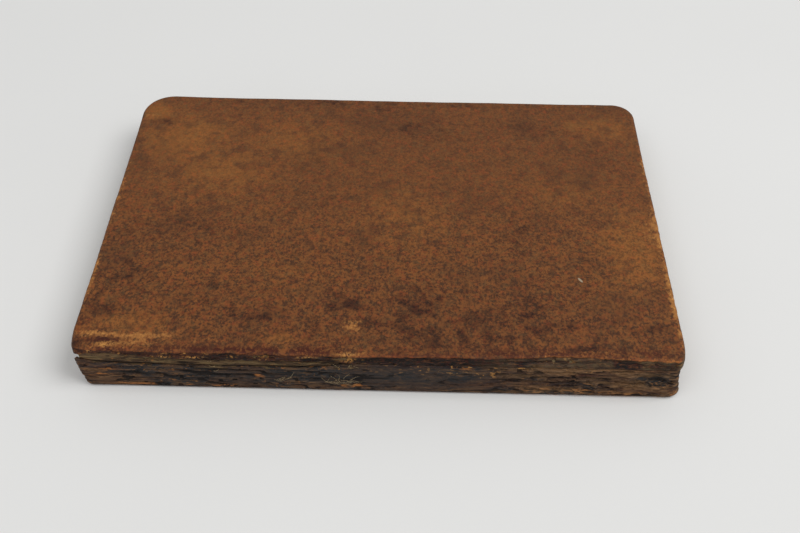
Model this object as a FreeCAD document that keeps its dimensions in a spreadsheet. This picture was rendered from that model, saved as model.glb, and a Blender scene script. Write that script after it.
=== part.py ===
import FreeCAD, Part
import os
import Sketcher

# A thin octavo in full leather, lying on its lower cover.
# X runs along the spine from head (-X) to tail (+X), Y from the spine (-Y) to the fore-edge (+Y), Z up.
# The origin is the middle of the footprint, on the surface that the lower cover rests on.

SIZES = (
    ("board_length", 174.6, "pasteboard along the spine"),
    ("board_width", 118.6, "pasteboard from spine to fore-edge"),
    ("board_thickness", 2.25, "pasteboard"),
    ("board_edge_round", 0.5, "softened outer arris of the pasteboard"),
    ("board_head_corner", 9.8, "round fore-edge corner at the head"),
    ("board_tail_corner", 7.8, "round fore-edge corner at the tail"),
    ("board_spine_corner", 1.5, "worn corners beside the spine"),
    ("leather_thickness", 0.7, "covering leather on the boards"),
    ("turn_in_thickness", 0.4, "leather pared thin where it is turned in"),
    ("turn_in_width", 14.0, "turned-in leather, from the edge of the cover"),
    ("pastedown_thickness", 0.25, "paper pasted inside the cover"),
    ("pastedown_inset", 3.0, "leather left showing around the pastedown"),
    ("cover_offset", 0.8, "lower cover lies this much further to the tail than the upper"),
    ("cover_clearance", 0.2, "air between the leaves and each closed cover"),
    ("torn_edge_length", 78.0, "length of board edge laid bare at the split joint, from the head"),
    ("torn_edge_height", 2.0, "height of board edge laid bare"),
    ("leaves_thickness", 8.6, "all leaves pressed together"),
    ("square", 2.5, "cover beyond the leaves at head and tail"),
    ("fore_edge_square", 3.0, "cover beyond the leaves at the fore-edge"),
    ("leaf_head_corner", 8.0, "round corner of the leaves at the head"),
    ("leaf_tail_corner", 6.0, "round corner of the leaves at the tail"),
    ("spine_recess", 0.3, "spine leather behind the near edges of the covers"),
    ("spine_leather_thickness", 0.8, "leather over the spine"),
    ("spine_clearance", 0.1, "gap between the spine leather and each cover"),
    ("spine_torn_length", 76.0, "length of spine leather torn at the split joint, from the head"),
    ("spine_torn_height", 1.2, "height of spine leather lost there"),
    ("spine_corner", 0.7, "worn corners of the spine caps"),
    ("cap_depth", 3.0, "reach of the leather cap over each end of the spine"),
    ("lining_thickness", 0.4, "paper lining glued to the backs of the sections"),
    ("cord_diameter", 1.8, "sewing cord"),
    ("cord_clearance", 0.1, "glue around the cord in its saw kerf"),
    ("cord_spacing", 50.0, "from one cord to the next"),
    ("head_cord_margin", 25.5, "first cord, from the head of the leaves"),
    ("endband_diameter", 1.6, "sewn endband"),
    ("endband_clearance", 0.05, "glue between the endband and the leaves"),
)

COVER_LENGTH = "(sizes.board_length + 2 * sizes.leather_thickness)"
COVER_WIDTH = "(sizes.board_width + 2 * sizes.leather_thickness)"
BOARD_BASE = "(sizes.pastedown_thickness + sizes.turn_in_thickness)"
COVER_THICKNESS = f"({BOARD_BASE} + sizes.board_thickness + sizes.leather_thickness)"
NEAR_EDGE = f"(-{COVER_WIDTH} / 2)"
LEAVES_BASE = f"({COVER_THICKNESS} + sizes.cover_clearance)"
LEAVES_LENGTH = f"({COVER_LENGTH} - 2 * sizes.square)"
SPINE_FACE = f"({NEAR_EDGE} + sizes.spine_recess)"
LINING_FACE = f"({SPINE_FACE} + sizes.spine_leather_thickness)"
LEAVES_BACK = f"({LINING_FACE} + sizes.lining_thickness)"
CORDS = ("head", "middle", "tail")

doc = FreeCAD.newDocument("antique_leather_book")


def fill_sheet():
    sheet = doc.addObject("Spreadsheet::Sheet", "sizes")
    for row, (alias, value, note) in enumerate(SIZES, start=1):
        sheet.set(f"A{row}", note)
        sheet.set(f"B{row}", str(value))
        sheet.setAlias(f"B{row}", alias)
    doc.recompute()


def bind(item, **expressions):
    for name, expression in expressions.items():
        item.setExpression(name.replace("__", "."), expression)


def place(item, x="0", y="0", z="0"):
    bind(item, Placement__Base__x=x, Placement__Base__y=y, Placement__Base__z=z)


def new_body(label):
    body = doc.addObject("PartDesign::Body", label)
    body.Label = label
    return body


def rectangle(body, name, left, right, near, far, height="0"):
    """A rectangle on the body's XY plane, raised to a height, with each side bound to an expression."""
    plane = [feature for feature in body.Origin.OriginFeatures if feature.Role == "XY_Plane"][0]
    sketch = body.newObject("Sketcher::SketchObject", name)
    sketch.AttachmentSupport = (plane, [""])
    sketch.MapMode = "FlatFace"
    sketch.setExpression("AttachmentOffset.Base.z", height)
    corners = [FreeCAD.Vector(x, y, 0) for x, y in ((-1, -1), (1, -1), (1, 1), (-1, 1))]
    for number in range(4):
        sketch.addGeometry(Part.LineSegment(corners[number], corners[(number + 1) % 4]))
    for number in range(4):
        sketch.addConstraint(Sketcher.Constraint("Coincident", number, 2, (number + 1) % 4, 1))
        sketch.addConstraint(Sketcher.Constraint(("Horizontal", "Vertical")[number % 2], number))
    sides = (("left", "DistanceX", 0, -1, left), ("right", "DistanceX", 2, 1, right),
             ("near", "DistanceY", 0, -1, near), ("far", "DistanceY", 2, 1, far))
    for side, kind, line, start, expression in sides:
        index = sketch.addConstraint(Sketcher.Constraint(kind, -1, 1, line, 1, start))
        sketch.renameConstraint(index, side)
        sketch.setExpression(f"Constraints.{side}", expression)
    return sketch


def pad(body, sketch, name, length):
    feature = body.newObject("PartDesign::Pad", name)
    feature.Profile = sketch
    feature.setExpression("Length", length)
    doc.recompute()
    return feature


def pocket(body, sketch, name, length):
    """A pocket cut upwards from its sketch, which has to take material away."""
    before = body.Shape.Volume
    feature = body.newObject("PartDesign::Pocket", name)
    feature.Profile = sketch
    feature.Reversed = True
    feature.setExpression("Length", length)
    doc.recompute()
    if body.Shape.Volume >= before:
        raise RuntimeError(f"{body.Label}: {name} cuts nothing")
    return feature


def round_edges(body, name, radius, chosen):
    base = body.Tip
    edges = [f"Edge{number}" for number, edge in enumerate(base.Shape.Edges, start=1) if chosen(edge)]
    feature = body.newObject("PartDesign::Fillet", name)
    feature.Base = (base, edges)
    feature.setExpression("Radius", radius)
    doc.recompute()


def upright(side_x, side_y):
    """The upright edges on one side in X (0 for both) and one side in Y."""
    def chosen(edge):
        box = edge.BoundBox
        if box.XLength + box.YLength > box.ZLength:
            return False
        return edge.CenterOfMass.x * side_x >= 0 and edge.CenterOfMass.y * side_y > 0
    return chosen


def on_top(body):
    """The edges around the highest face."""
    top = body.Shape.BoundBox.ZMax
    return lambda edge: abs(edge.BoundBox.ZMin - top) < 1e-6


def cut(base, tool, label):
    result = doc.addObject("Part::Cut", label)
    result.Base = base
    result.Tool = tool
    result.Label = label
    doc.recompute()
    return result


# Each cover is modelled with its inner face at height 0 and its outer face up.
# The lower cover is the same build turned half round about Y, which swaps head and tail.

def cover_slab(label, head_x, thickness, base, margin):
    """A plate with the round corners of a cover, grown beyond the board by a margin all round."""
    body = new_body(label)
    half_length = f"(sizes.board_length / 2 + {margin})"
    half_width = f"(sizes.board_width / 2 + {margin})"
    outline = rectangle(body, f"{label}_outline", f"-{half_length}", half_length,
                        f"-{half_width}", half_width, base)
    pad(body, outline, f"{label}_plate", thickness)
    round_edges(body, f"{label}_head_corner", f"sizes.board_head_corner + {margin}", upright(head_x, 1))
    round_edges(body, f"{label}_tail_corner", f"sizes.board_tail_corner + {margin}", upright(-head_x, 1))
    round_edges(body, f"{label}_spine_corners", f"sizes.board_spine_corner + {margin}", upright(0, -1))
    round_edges(body, f"{label}_arris", f"sizes.board_edge_round + {margin}", on_top(body))
    return body


def turn_in_window(label):
    """The opening that the turned-in leather leaves on the inside of a cover, as a block."""
    block = doc.addObject("Part::Box", label)
    bind(block, Length=f"{COVER_LENGTH} - 2 * sizes.turn_in_width",
         Width=f"{COVER_WIDTH} - sizes.leather_thickness - sizes.turn_in_width",
         Height="sizes.turn_in_thickness")
    return block


def pastedown(label):
    """One sheet of even thickness: over the turn-ins at its rim and down on the board inside them."""
    body = new_body(label)
    half_sheet = f"({COVER_LENGTH} / 2 - sizes.pastedown_inset)"
    half_window = f"({COVER_LENGTH} / 2 - sizes.turn_in_width)"
    near = f"({NEAR_EDGE} + sizes.leather_thickness)"
    window_far = f"({COVER_WIDTH} / 2 - sizes.turn_in_width)"
    sheet = rectangle(body, f"{label}_sheet", f"-{half_sheet}", half_sheet,
                      near, f"{COVER_WIDTH} / 2 - sizes.pastedown_inset")
    pad(body, sheet, f"{label}_rim", "sizes.pastedown_thickness")
    raised = rectangle(body, f"{label}_window", f"-{half_window}", half_window,
                       near, window_far, "sizes.pastedown_thickness")
    pad(body, raised, f"{label}_panel", "sizes.turn_in_thickness")
    inner = f"({half_window} - sizes.pastedown_thickness)"
    hollow = rectangle(body, f"{label}_hollow", f"-{inner}", inner,
                       f"{near} + sizes.pastedown_thickness", f"{window_far} - sizes.pastedown_thickness")
    pocket(body, hollow, f"{label}_step", "sizes.turn_in_thickness")
    return body


def set_cover(items, turned, x, z):
    for item, item_x, item_y, item_z in items:
        if turned:
            item.Placement = FreeCAD.Placement(FreeCAD.Vector(), FreeCAD.Rotation(FreeCAD.Vector(0, 1, 0), 180))
        sign = "-" if turned else "+"
        place(item, f"{x} {sign} {item_x}", item_y, f"{z} {sign} {item_z}")


def cover(name, turned, x, z):
    """The board, the leather around it and the pastedown of one cover."""
    head_x = 1 if turned else -1
    board = cover_slab(f"{name}_board", head_x, "sizes.board_thickness", BOARD_BASE, "0")
    skin = cover_slab(f"{name}_skin", head_x,
                      "sizes.turn_in_thickness + sizes.board_thickness + sizes.leather_thickness",
                      "sizes.pastedown_thickness", "sizes.leather_thickness")
    window = turn_in_window(f"{name}_window")
    paper = pastedown(f"{name}_pastedown")
    window_x = f"(sizes.turn_in_width - {COVER_LENGTH} / 2)"
    window_y = f"({NEAR_EDGE} + sizes.leather_thickness)"
    zero = "0"
    set_cover(((board, zero, "0", zero), (skin, zero, "0", zero), (paper, zero, "0", zero),
               (window, window_x, window_y, "sizes.pastedown_thickness")), turned, x, z)
    wrap = cut(skin, board, f"{name}_wrap")
    return board, cut(wrap, window, f"{name}_cover_leather"), paper


def tear_joint(leather):
    """The leather lost from the near edge of the upper cover, where the joint has split."""
    leather.Label = "upper_cover_wrap"
    block = doc.addObject("Part::Box", "torn_strip")
    bind(block, Length="sizes.torn_edge_length + sizes.leather_thickness",
         Width="sizes.leather_thickness", Height="sizes.torn_edge_height")
    place(block, f"-{COVER_LENGTH} / 2 - sizes.leather_thickness - sizes.cover_offset / 2", NEAR_EDGE,
          f"{LEAVES_BASE} + sizes.leaves_thickness + sizes.cover_clearance + sizes.pastedown_thickness")
    return cut(leather, block, "upper_cover_leather")


def text_block():
    """All leaves as one block, with the saw kerfs for the sewing cords across its back."""
    body = new_body("text_block")
    half_length = f"{LEAVES_LENGTH} / 2"
    outline = rectangle(body, "leaf_outline", f"-{half_length}", half_length,
                        LEAVES_BACK, f"{COVER_WIDTH} / 2 - sizes.fore_edge_square")
    pad(body, outline, "leaves", "sizes.leaves_thickness")
    round_edges(body, "leaf_head_corner", "sizes.leaf_head_corner", upright(-1, 1))
    round_edges(body, "leaf_tail_corner", "sizes.leaf_tail_corner", upright(1, 1))
    half_kerf = "(sizes.cord_diameter / 2 + sizes.cord_clearance)"
    for step, side in enumerate(CORDS):
        middle = cord_place(step)
        kerf = rectangle(body, f"{side}_kerf_outline", f"{middle} - {half_kerf}", f"{middle} + {half_kerf}",
                         LEAVES_BACK, f"{LEAVES_BACK} + sizes.cord_diameter + sizes.cord_clearance")
        pocket(body, kerf, f"{side}_kerf", "sizes.leaves_thickness")
    place(body, z=LEAVES_BASE)
    return body


def cord_place(step):
    """The middle of one cord along X, counted from the head."""
    return f"(sizes.head_cord_margin - {LEAVES_LENGTH} / 2 + {step} * sizes.cord_spacing)"


def sewing_cord(side, step):
    cord = doc.addObject("Part::Cylinder", f"sewing_cord_{side}")
    bind(cord, Radius="sizes.cord_diameter / 2", Height="sizes.leaves_thickness")
    place(cord, cord_place(step), f"{LEAVES_BACK} + sizes.cord_diameter / 2", LEAVES_BASE)
    return cord


def endband(label, side):
    band = doc.addObject("Part::Cylinder", label)
    bind(band, Radius="sizes.endband_diameter / 2", Height="sizes.leaves_thickness")
    place(band, f"{side} * ({LEAVES_LENGTH} / 2 + sizes.endband_clearance + sizes.endband_diameter / 2)",
          f"{LEAVES_BACK} + sizes.endband_diameter / 2", LEAVES_BASE)
    return band


def spine_lining():
    lining = doc.addObject("Part::Box", "spine_lining")
    bind(lining, Length=LEAVES_LENGTH, Width="sizes.lining_thickness", Height="sizes.leaves_thickness")
    place(lining, f"-{LEAVES_LENGTH} / 2", LINING_FACE, LEAVES_BASE)
    return lining


def spine_leather():
    """The leather over the spine, folded over at both ends into caps, torn along its top at the head."""
    body = new_body("spine_leather")
    half_length = f"{COVER_LENGTH} / 2"
    base = f"({COVER_THICKNESS} + sizes.spine_clearance)"
    height = f"(sizes.leaves_thickness + 2 * sizes.cover_clearance - 2 * sizes.spine_clearance)"
    outline = rectangle(body, "spine_outline", f"-{half_length}", half_length,
                        SPINE_FACE, f"{SPINE_FACE} + sizes.cap_depth")
    pad(body, outline, "spine_strip", height)
    round_edges(body, "spine_corners", "sizes.spine_corner", upright(0, -1))
    inner_half = f"({half_length} - sizes.spine_leather_thickness)"
    fold = rectangle(body, "cap_outline", f"-{inner_half}", inner_half,
                     LINING_FACE, f"{SPINE_FACE} + sizes.cap_depth")
    pocket(body, fold, "cap_fold", height)
    tear = rectangle(body, "tear_outline", f"-{half_length}", f"sizes.spine_torn_length - {half_length}",
                     SPINE_FACE, f"{SPINE_FACE} + sizes.cap_depth", f"{height} - sizes.spine_torn_height")
    pocket(body, tear, "spine_tear", "sizes.spine_torn_height")
    place(body, z=base)
    return body


def check(parts):
    failed = [item.Name for item in doc.Objects if {"Invalid", "Error"} & set(item.State)]
    if failed:
        raise RuntimeError(f"failed objects: {failed}")
    for part in parts:
        if part.Shape.isNull() or not part.Shape.isValid() or len(part.Shape.Solids) != 1:
            raise RuntimeError(f"{part.Label}: not one valid solid")


def main():
    fill_sheet()
    upper_base = f"({LEAVES_BASE} + sizes.leaves_thickness + sizes.cover_clearance)"
    lower_parts = cover("lower", True, "sizes.cover_offset / 2", COVER_THICKNESS)
    upper_board, upper_leather, upper_paper = cover("upper", False, "-sizes.cover_offset / 2", upper_base)
    parts = [*lower_parts, upper_board, tear_joint(upper_leather), upper_paper]
    parts += [text_block(), spine_lining(), spine_leather()]
    parts += [sewing_cord(side, step) for step, side in enumerate(CORDS)]
    parts += [endband("headband", -1), endband("tailband", 1)]
    doc.recompute()
    check(parts)
    os.makedirs("parts", exist_ok=True)
    for part in parts:
        part.Shape.exportStep(f"parts/{part.Label}.step")
        print(part.Label, part.Shape.BoundBox, round(part.Shape.Volume, 2))


main()
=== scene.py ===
"""The looks of an antique leather book, laid over its packed construction."""
import math
import random
from collections import namedtuple

import bmesh
import bpy
import numpy as np
from mathutils import Matrix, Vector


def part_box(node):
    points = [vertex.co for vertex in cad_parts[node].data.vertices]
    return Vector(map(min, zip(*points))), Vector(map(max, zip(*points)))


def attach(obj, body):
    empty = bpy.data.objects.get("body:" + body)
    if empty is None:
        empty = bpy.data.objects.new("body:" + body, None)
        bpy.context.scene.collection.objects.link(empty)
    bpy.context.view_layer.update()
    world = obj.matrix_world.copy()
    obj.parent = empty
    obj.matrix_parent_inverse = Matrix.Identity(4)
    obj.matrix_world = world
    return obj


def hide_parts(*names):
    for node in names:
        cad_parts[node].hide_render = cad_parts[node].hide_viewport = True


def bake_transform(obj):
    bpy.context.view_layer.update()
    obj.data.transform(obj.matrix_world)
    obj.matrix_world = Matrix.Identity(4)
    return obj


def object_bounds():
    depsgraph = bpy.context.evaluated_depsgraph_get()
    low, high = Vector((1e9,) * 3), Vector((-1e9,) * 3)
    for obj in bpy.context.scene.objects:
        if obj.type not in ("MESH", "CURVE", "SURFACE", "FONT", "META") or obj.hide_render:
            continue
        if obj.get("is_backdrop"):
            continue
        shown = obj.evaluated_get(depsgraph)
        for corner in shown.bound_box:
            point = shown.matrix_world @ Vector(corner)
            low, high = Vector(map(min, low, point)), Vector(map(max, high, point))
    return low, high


bl_info = {
    "name": "Antique leather book",
    "version": (1, 0, 0),
    "blender": (4, 5, 0),
    "location": "View3D > Sidebar > Book",
    "description": "Builds the worn leather, paper and thread of a small antique book",
    "category": "Add Mesh",
}

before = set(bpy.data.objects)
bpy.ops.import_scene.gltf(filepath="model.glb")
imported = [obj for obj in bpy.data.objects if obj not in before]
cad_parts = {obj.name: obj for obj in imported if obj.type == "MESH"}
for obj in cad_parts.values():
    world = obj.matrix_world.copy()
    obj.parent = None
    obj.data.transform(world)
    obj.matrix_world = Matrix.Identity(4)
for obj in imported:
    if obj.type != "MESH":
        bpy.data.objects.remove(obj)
CAD_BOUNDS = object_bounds()
MM = 0.001


def srgb(red, green, blue):
    """A colour written as 0 to 255 display values, as linear light."""
    def linear(value):
        value /= 255
        return value / 12.92 if value <= 0.04045 else ((value + 0.055) / 1.055) ** 2.4
    return (linear(red), linear(green), linear(blue))


def box_mm(node):
    low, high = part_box(node)
    return np.array(low) / MM, np.array(high) / MM


# Fields of smooth random values, the same on every run

CELL_PRIMES = (73856093, 19349663, 83492791)
SEED_PRIME = 39916801
MIXING_FACTOR = 1274126177
WORD, HALF_WORD = 0xFFFFFFFF, 0xFFFF


def lattice(cell, seed):
    """A random value from 0 to 1 for each whole-numbered cell."""
    mixed = seed * SEED_PRIME
    for axis, prime in enumerate(CELL_PRIMES):
        mixed = mixed ^ cell[..., axis] * prime
    mixed = (mixed ^ (mixed >> 13)) * MIXING_FACTOR & WORD
    mixed ^= mixed >> 15
    return (mixed & HALF_WORD) / HALF_WORD


def noise(points, cell, seed):
    """Value noise from 0 to 1 whose cells measure cell mm (one number, or one for each axis)."""
    scaled = points / np.asarray(cell, float)
    base = np.floor(scaled).astype(np.int64)
    part = scaled - base
    part = part * part * (3 - 2 * part)
    total = np.zeros(len(points))
    for corner in np.ndindex(2, 2, 2):
        weight = np.prod(np.where(corner, part, 1 - part), axis=1)
        total += weight * lattice(base + corner, seed)
    return total


def fractal(points, cell, seed, octaves=3):
    """Layered noise from -1 to 1."""
    total, reach = np.zeros(len(points)), 0.0
    for octave in range(octaves):
        share = 0.5 ** octave
        total += share * (noise(points, np.asarray(cell, float) * share, seed + octave) * 2 - 1)
        reach += share
    return total / reach


def smooth(value, low, high):
    part = np.clip((value - low) / (high - low), 0, 1)
    return part * part * (3 - 2 * part)


def along(x, *stops):
    """A curve through (x, value) stops, softened over 2 mm to either side."""
    places, values = zip(*stops)
    spread = np.linspace(-2.0, 2.0, 9)
    return np.mean([np.interp(x + step, places, values) for step in spread], axis=0)


def marks(points, axes, spots):
    """The strongest of several soft oval spots: (place, place, half size, half size, strength)."""
    total = np.zeros(len(points))
    for first, second, wide, tall, strength in spots:
        away = ((points[:, axes[0]] - first) / wide) ** 2 + ((points[:, axes[1]] - second) / tall) ** 2
        total = np.maximum(total, strength * np.exp(-away))
    return total


# Mesh building

def new_piece(name, points, faces, material, shade_smooth=True):
    """A finished object from points in mm, with its doubles merged and its faces pointing outwards."""
    mesh = bpy.data.meshes.new(name)
    mesh.from_pydata((np.asarray(points) * MM).tolist(), [], faces)
    work = bmesh.new()
    work.from_mesh(mesh)
    bmesh.ops.remove_doubles(work, verts=work.verts, dist=1e-7)
    bmesh.ops.dissolve_degenerate(work, edges=work.edges, dist=1e-8)
    bmesh.ops.recalc_face_normals(work, faces=work.faces)
    work.to_mesh(mesh)
    work.free()
    mesh.polygons.foreach_set("use_smooth", [shade_smooth] * len(mesh.polygons))
    mesh.materials.append(material)
    piece = bpy.data.objects.new(name, mesh)
    bpy.context.scene.collection.objects.link(piece)
    return piece


def points_of(piece):
    flat = np.zeros(len(piece.data.vertices) * 3)
    piece.data.vertices.foreach_get("co", flat)
    return flat.reshape(-1, 3) / MM


def paint(piece, **fields):
    """Writes one value per point under each name, for the material to read."""
    for name, values in fields.items():
        layer = piece.data.attributes.new(name, "FLOAT", "POINT")
        layer.data.foreach_set("value", np.clip(values, 0, 1).astype(np.float32))


def loop_quads(first, second, count):
    """Quads between two closed rings of points, given each ring's first index."""
    following = np.roll(np.arange(count), -1)
    return [(first + i, first + j, second + j, second + i) for i, j in zip(range(count), following.tolist())]


def border_of(start, columns, rows):
    """The points around a grid, in the order of an outline."""
    near = [start + i for i in range(columns - 1)]
    tail = [start + row * columns + columns - 1 for row in range(rows - 1)]
    far = [start + rows * columns - 1 - i for i in range(columns - 1)]
    head = [start + (rows - 1 - row) * columns for row in range(rows - 1)]
    return near, tail, far, head


def stitch(ring_start, ring_sides, border):
    """Faces between a finely divided ring and the coarser border of the grid inside it."""
    coarse = [index for side in border for index in side]
    fine, faces, total, step_start = 0, [], sum(ring_sides), 0
    for side, count in zip(border, ring_sides):
        ratio = count // len(side)
        for _ in side:
            arc = [ring_start + (fine + i) % total for i in range(ratio + 1)]
            faces.append((*arc, coarse[(step_start + 1) % len(coarse)], coarse[step_start]))
            fine, step_start = fine + ratio, step_start + 1
    return faces


def grid_quads(start, columns, rows):
    return [(start + row * columns + i, start + row * columns + i + 1,
             start + (row + 1) * columns + i + 1, start + (row + 1) * columns + i)
            for row in range(rows - 1) for i in range(columns - 1)]


def side_stations(start, end, start_radius, end_radius, count):
    """Even stations along one side of an outline, from the middle of one round corner to the next."""
    start, end = np.array(start, float), np.array(end, float)
    way = (end - start) / np.linalg.norm(end - start)
    out = np.array([way[1], -way[0]])
    first_arc, last_arc = start_radius * math.pi / 4, end_radius * math.pi / 4
    straight = np.linalg.norm(end - start) - start_radius - end_radius
    run = np.linspace(0, first_arc + straight + last_arc, count, endpoint=False)
    places, normals = [], []
    for length in run:
        if length < first_arc:
            turn = math.pi / 4 - length / start_radius
            normal = out * math.cos(turn) - way * math.sin(turn)
            place = start + (way - out) * start_radius + normal * start_radius
        elif length > first_arc + straight and end_radius > 0:
            turn = (length - first_arc - straight) / end_radius
            normal = out * math.cos(turn) + way * math.sin(turn)
            place = end - (way + out) * end_radius + normal * end_radius
        else:
            normal = out
            place = start + way * (start_radius + length - first_arc)
        places.append(place)
        normals.append(normal)
    return places, normals


def outline(low, high, radii, counts, inset, near_inset):
    """A rectangle with round corners, drawn in by an inset, as places and outward directions.
    radii are near head, near tail, far tail and far head; counts are near, tail, far and head."""
    corners = [(low[0] + inset, low[1] + near_inset), (high[0] - inset, low[1] + near_inset),
               (high[0] - inset, high[1] - inset), (low[0] + inset, high[1] - inset)]
    drawn = [max(radius - inset, 0.0) for radius in radii]
    places, normals = [], []
    for side in range(4):
        after = (side + 1) % 4
        more = side_stations(corners[side], corners[after], drawn[side], drawn[after], counts[side])
        places += more[0]
        normals += more[1]
    return np.array(places), np.array(normals)


# Shader building

class Shader:
    """A material's node tree, with short calls for the nodes that these finishes use."""

    def __init__(self, name):
        self.material = bpy.data.materials.new(name)
        self.material.use_nodes = True
        self.tree = self.material.node_tree
        place = self.add("ShaderNodeTexCoord").outputs["Object"]
        self.mm = self.add("ShaderNodeMapping", Vector=place, Scale=(1 / MM, 1 / MM, 1 / MM)).outputs[0]

    def feed(self, socket, value):
        if isinstance(value, bpy.types.NodeSocket):
            self.tree.links.new(value, socket)
        elif socket.type == "RGBA" and len(value) == 3:
            socket.default_value = (*value, 1.0)
        else:
            socket.default_value = value

    def add(self, kind, **inputs):
        """A node whose inputs are fed by name."""
        node = self.tree.nodes.new(kind)
        for name, value in inputs.items():
            self.feed(node.inputs[name.replace("_", " ")], value)
        return node

    def put(self, kind, *values, **settings):
        """A node with its settings, whose first inputs are fed in order."""
        node = self.tree.nodes.new(kind)
        for name, value in settings.items():
            setattr(node, name, value)
        for socket, value in zip(node.inputs, values):
            self.feed(socket, value)
        return node

    def math(self, operation, first, second=0.0):
        return self.put("ShaderNodeMath", first, second, operation=operation).outputs[0]

    def plus(self, first, second):
        return self.math("ADD", first, second)

    def times(self, first, second):
        return self.math("MULTIPLY", first, second)

    def remap(self, value, low, high, to_low=0.0, to_high=1.0):
        return self.put("ShaderNodeMapRange", value, low, high, to_low, to_high,
                        interpolation_type="SMOOTHSTEP").outputs["Result"]

    def field(self, name):
        return self.put("ShaderNodeAttribute", attribute_name=name).outputs["Fac"]

    def noise(self, size, detail=3.0, roughness=0.6, vector=None):
        return self.add("ShaderNodeTexNoise", Vector=vector or self.mm, Scale=1 / size, Detail=detail,
                        Roughness=roughness).outputs["Fac"]

    def stretch(self, scale=(1, 1, 1), shift=0.0, vector=None):
        """Positions in mm, scaled along each axis and shifted to another part of the noise."""
        return self.add("ShaderNodeMapping", Vector=vector or self.mm, Scale=scale,
                        Location=(shift, shift, shift)).outputs[0]

    def waved(self, size, amount):
        """Positions in mm, pushed up and down by a soft noise."""
        push = self.times(self.math("SUBTRACT", self.noise(size, 2), 0.5), amount)
        upright = self.add("ShaderNodeCombineXYZ", Z=push).outputs[0]
        return self.put("ShaderNodeVectorMath", self.mm, upright).outputs[0]

    def mix(self, amount, first, second, blend="MIX"):
        node = self.put("ShaderNodeMix", amount, data_type="RGBA", blend_type=blend, clamp_factor=True)
        self.feed(node.inputs[6], first)
        self.feed(node.inputs[7], second)
        return node.outputs[2]

    def coats(self, colour, *coats):
        """A colour with coats laid over it in order: (amount, colour) or (amount, colour, blending)."""
        for amount, *coat in coats:
            colour = self.mix(amount, colour, *coat)
        return colour

    def spot(self, place, half, turn):
        """1 inside one small oval fleck at a place in mm, turned about the upright, and 0 elsewhere."""
        node = self.add("ShaderNodeMapping", Vector=self.mm, Location=place, Scale=half,
                        Rotation=(0, 0, math.radians(turn)))
        node.vector_type = "TEXTURE"
        away = self.put("ShaderNodeVectorMath", node.outputs[0], operation="LENGTH")
        return self.remap(away.outputs["Value"], 1.0, 0.7)

    def outside(self, block, margin):
        """1 on the sides of a block and 0 on its flat faces, for a block's middle and half size in mm."""
        parts, away = self.add("ShaderNodeSeparateXYZ", Vector=self.mm).outputs, []
        for place, middle, half in zip(parts, *block):
            distance = self.math("ABSOLUTE", self.math("SUBTRACT", place, middle))
            away.append(self.math("SUBTRACT", distance, half))
        return self.remap(self.math("MAXIMUM", *away), -margin, -0.4 * margin)

    def bump(self, height, depth, **before):
        """Relief of a depth in mm, laid over the relief before it where Normal is given."""
        return self.add("ShaderNodeBump", Height=height, Distance=depth * MM, Strength=1.0,
                        **before).outputs[0]

    def finish(self, colour, roughness, normal, specular):
        surface = self.tree.nodes["Principled BSDF"].inputs
        for name, value in (("Base Color", colour), ("Roughness", roughness), ("Normal", normal),
                            ("Specular IOR Level", specular)):
            self.feed(surface[name], value)
        return self.material


# The fleck rubbed into the upper cover: its place, its half sizes and its turn in degrees
FLECK = ((60.0, -28.4, 16.2), (1.25, 0.42, 3.0), -56)


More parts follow.
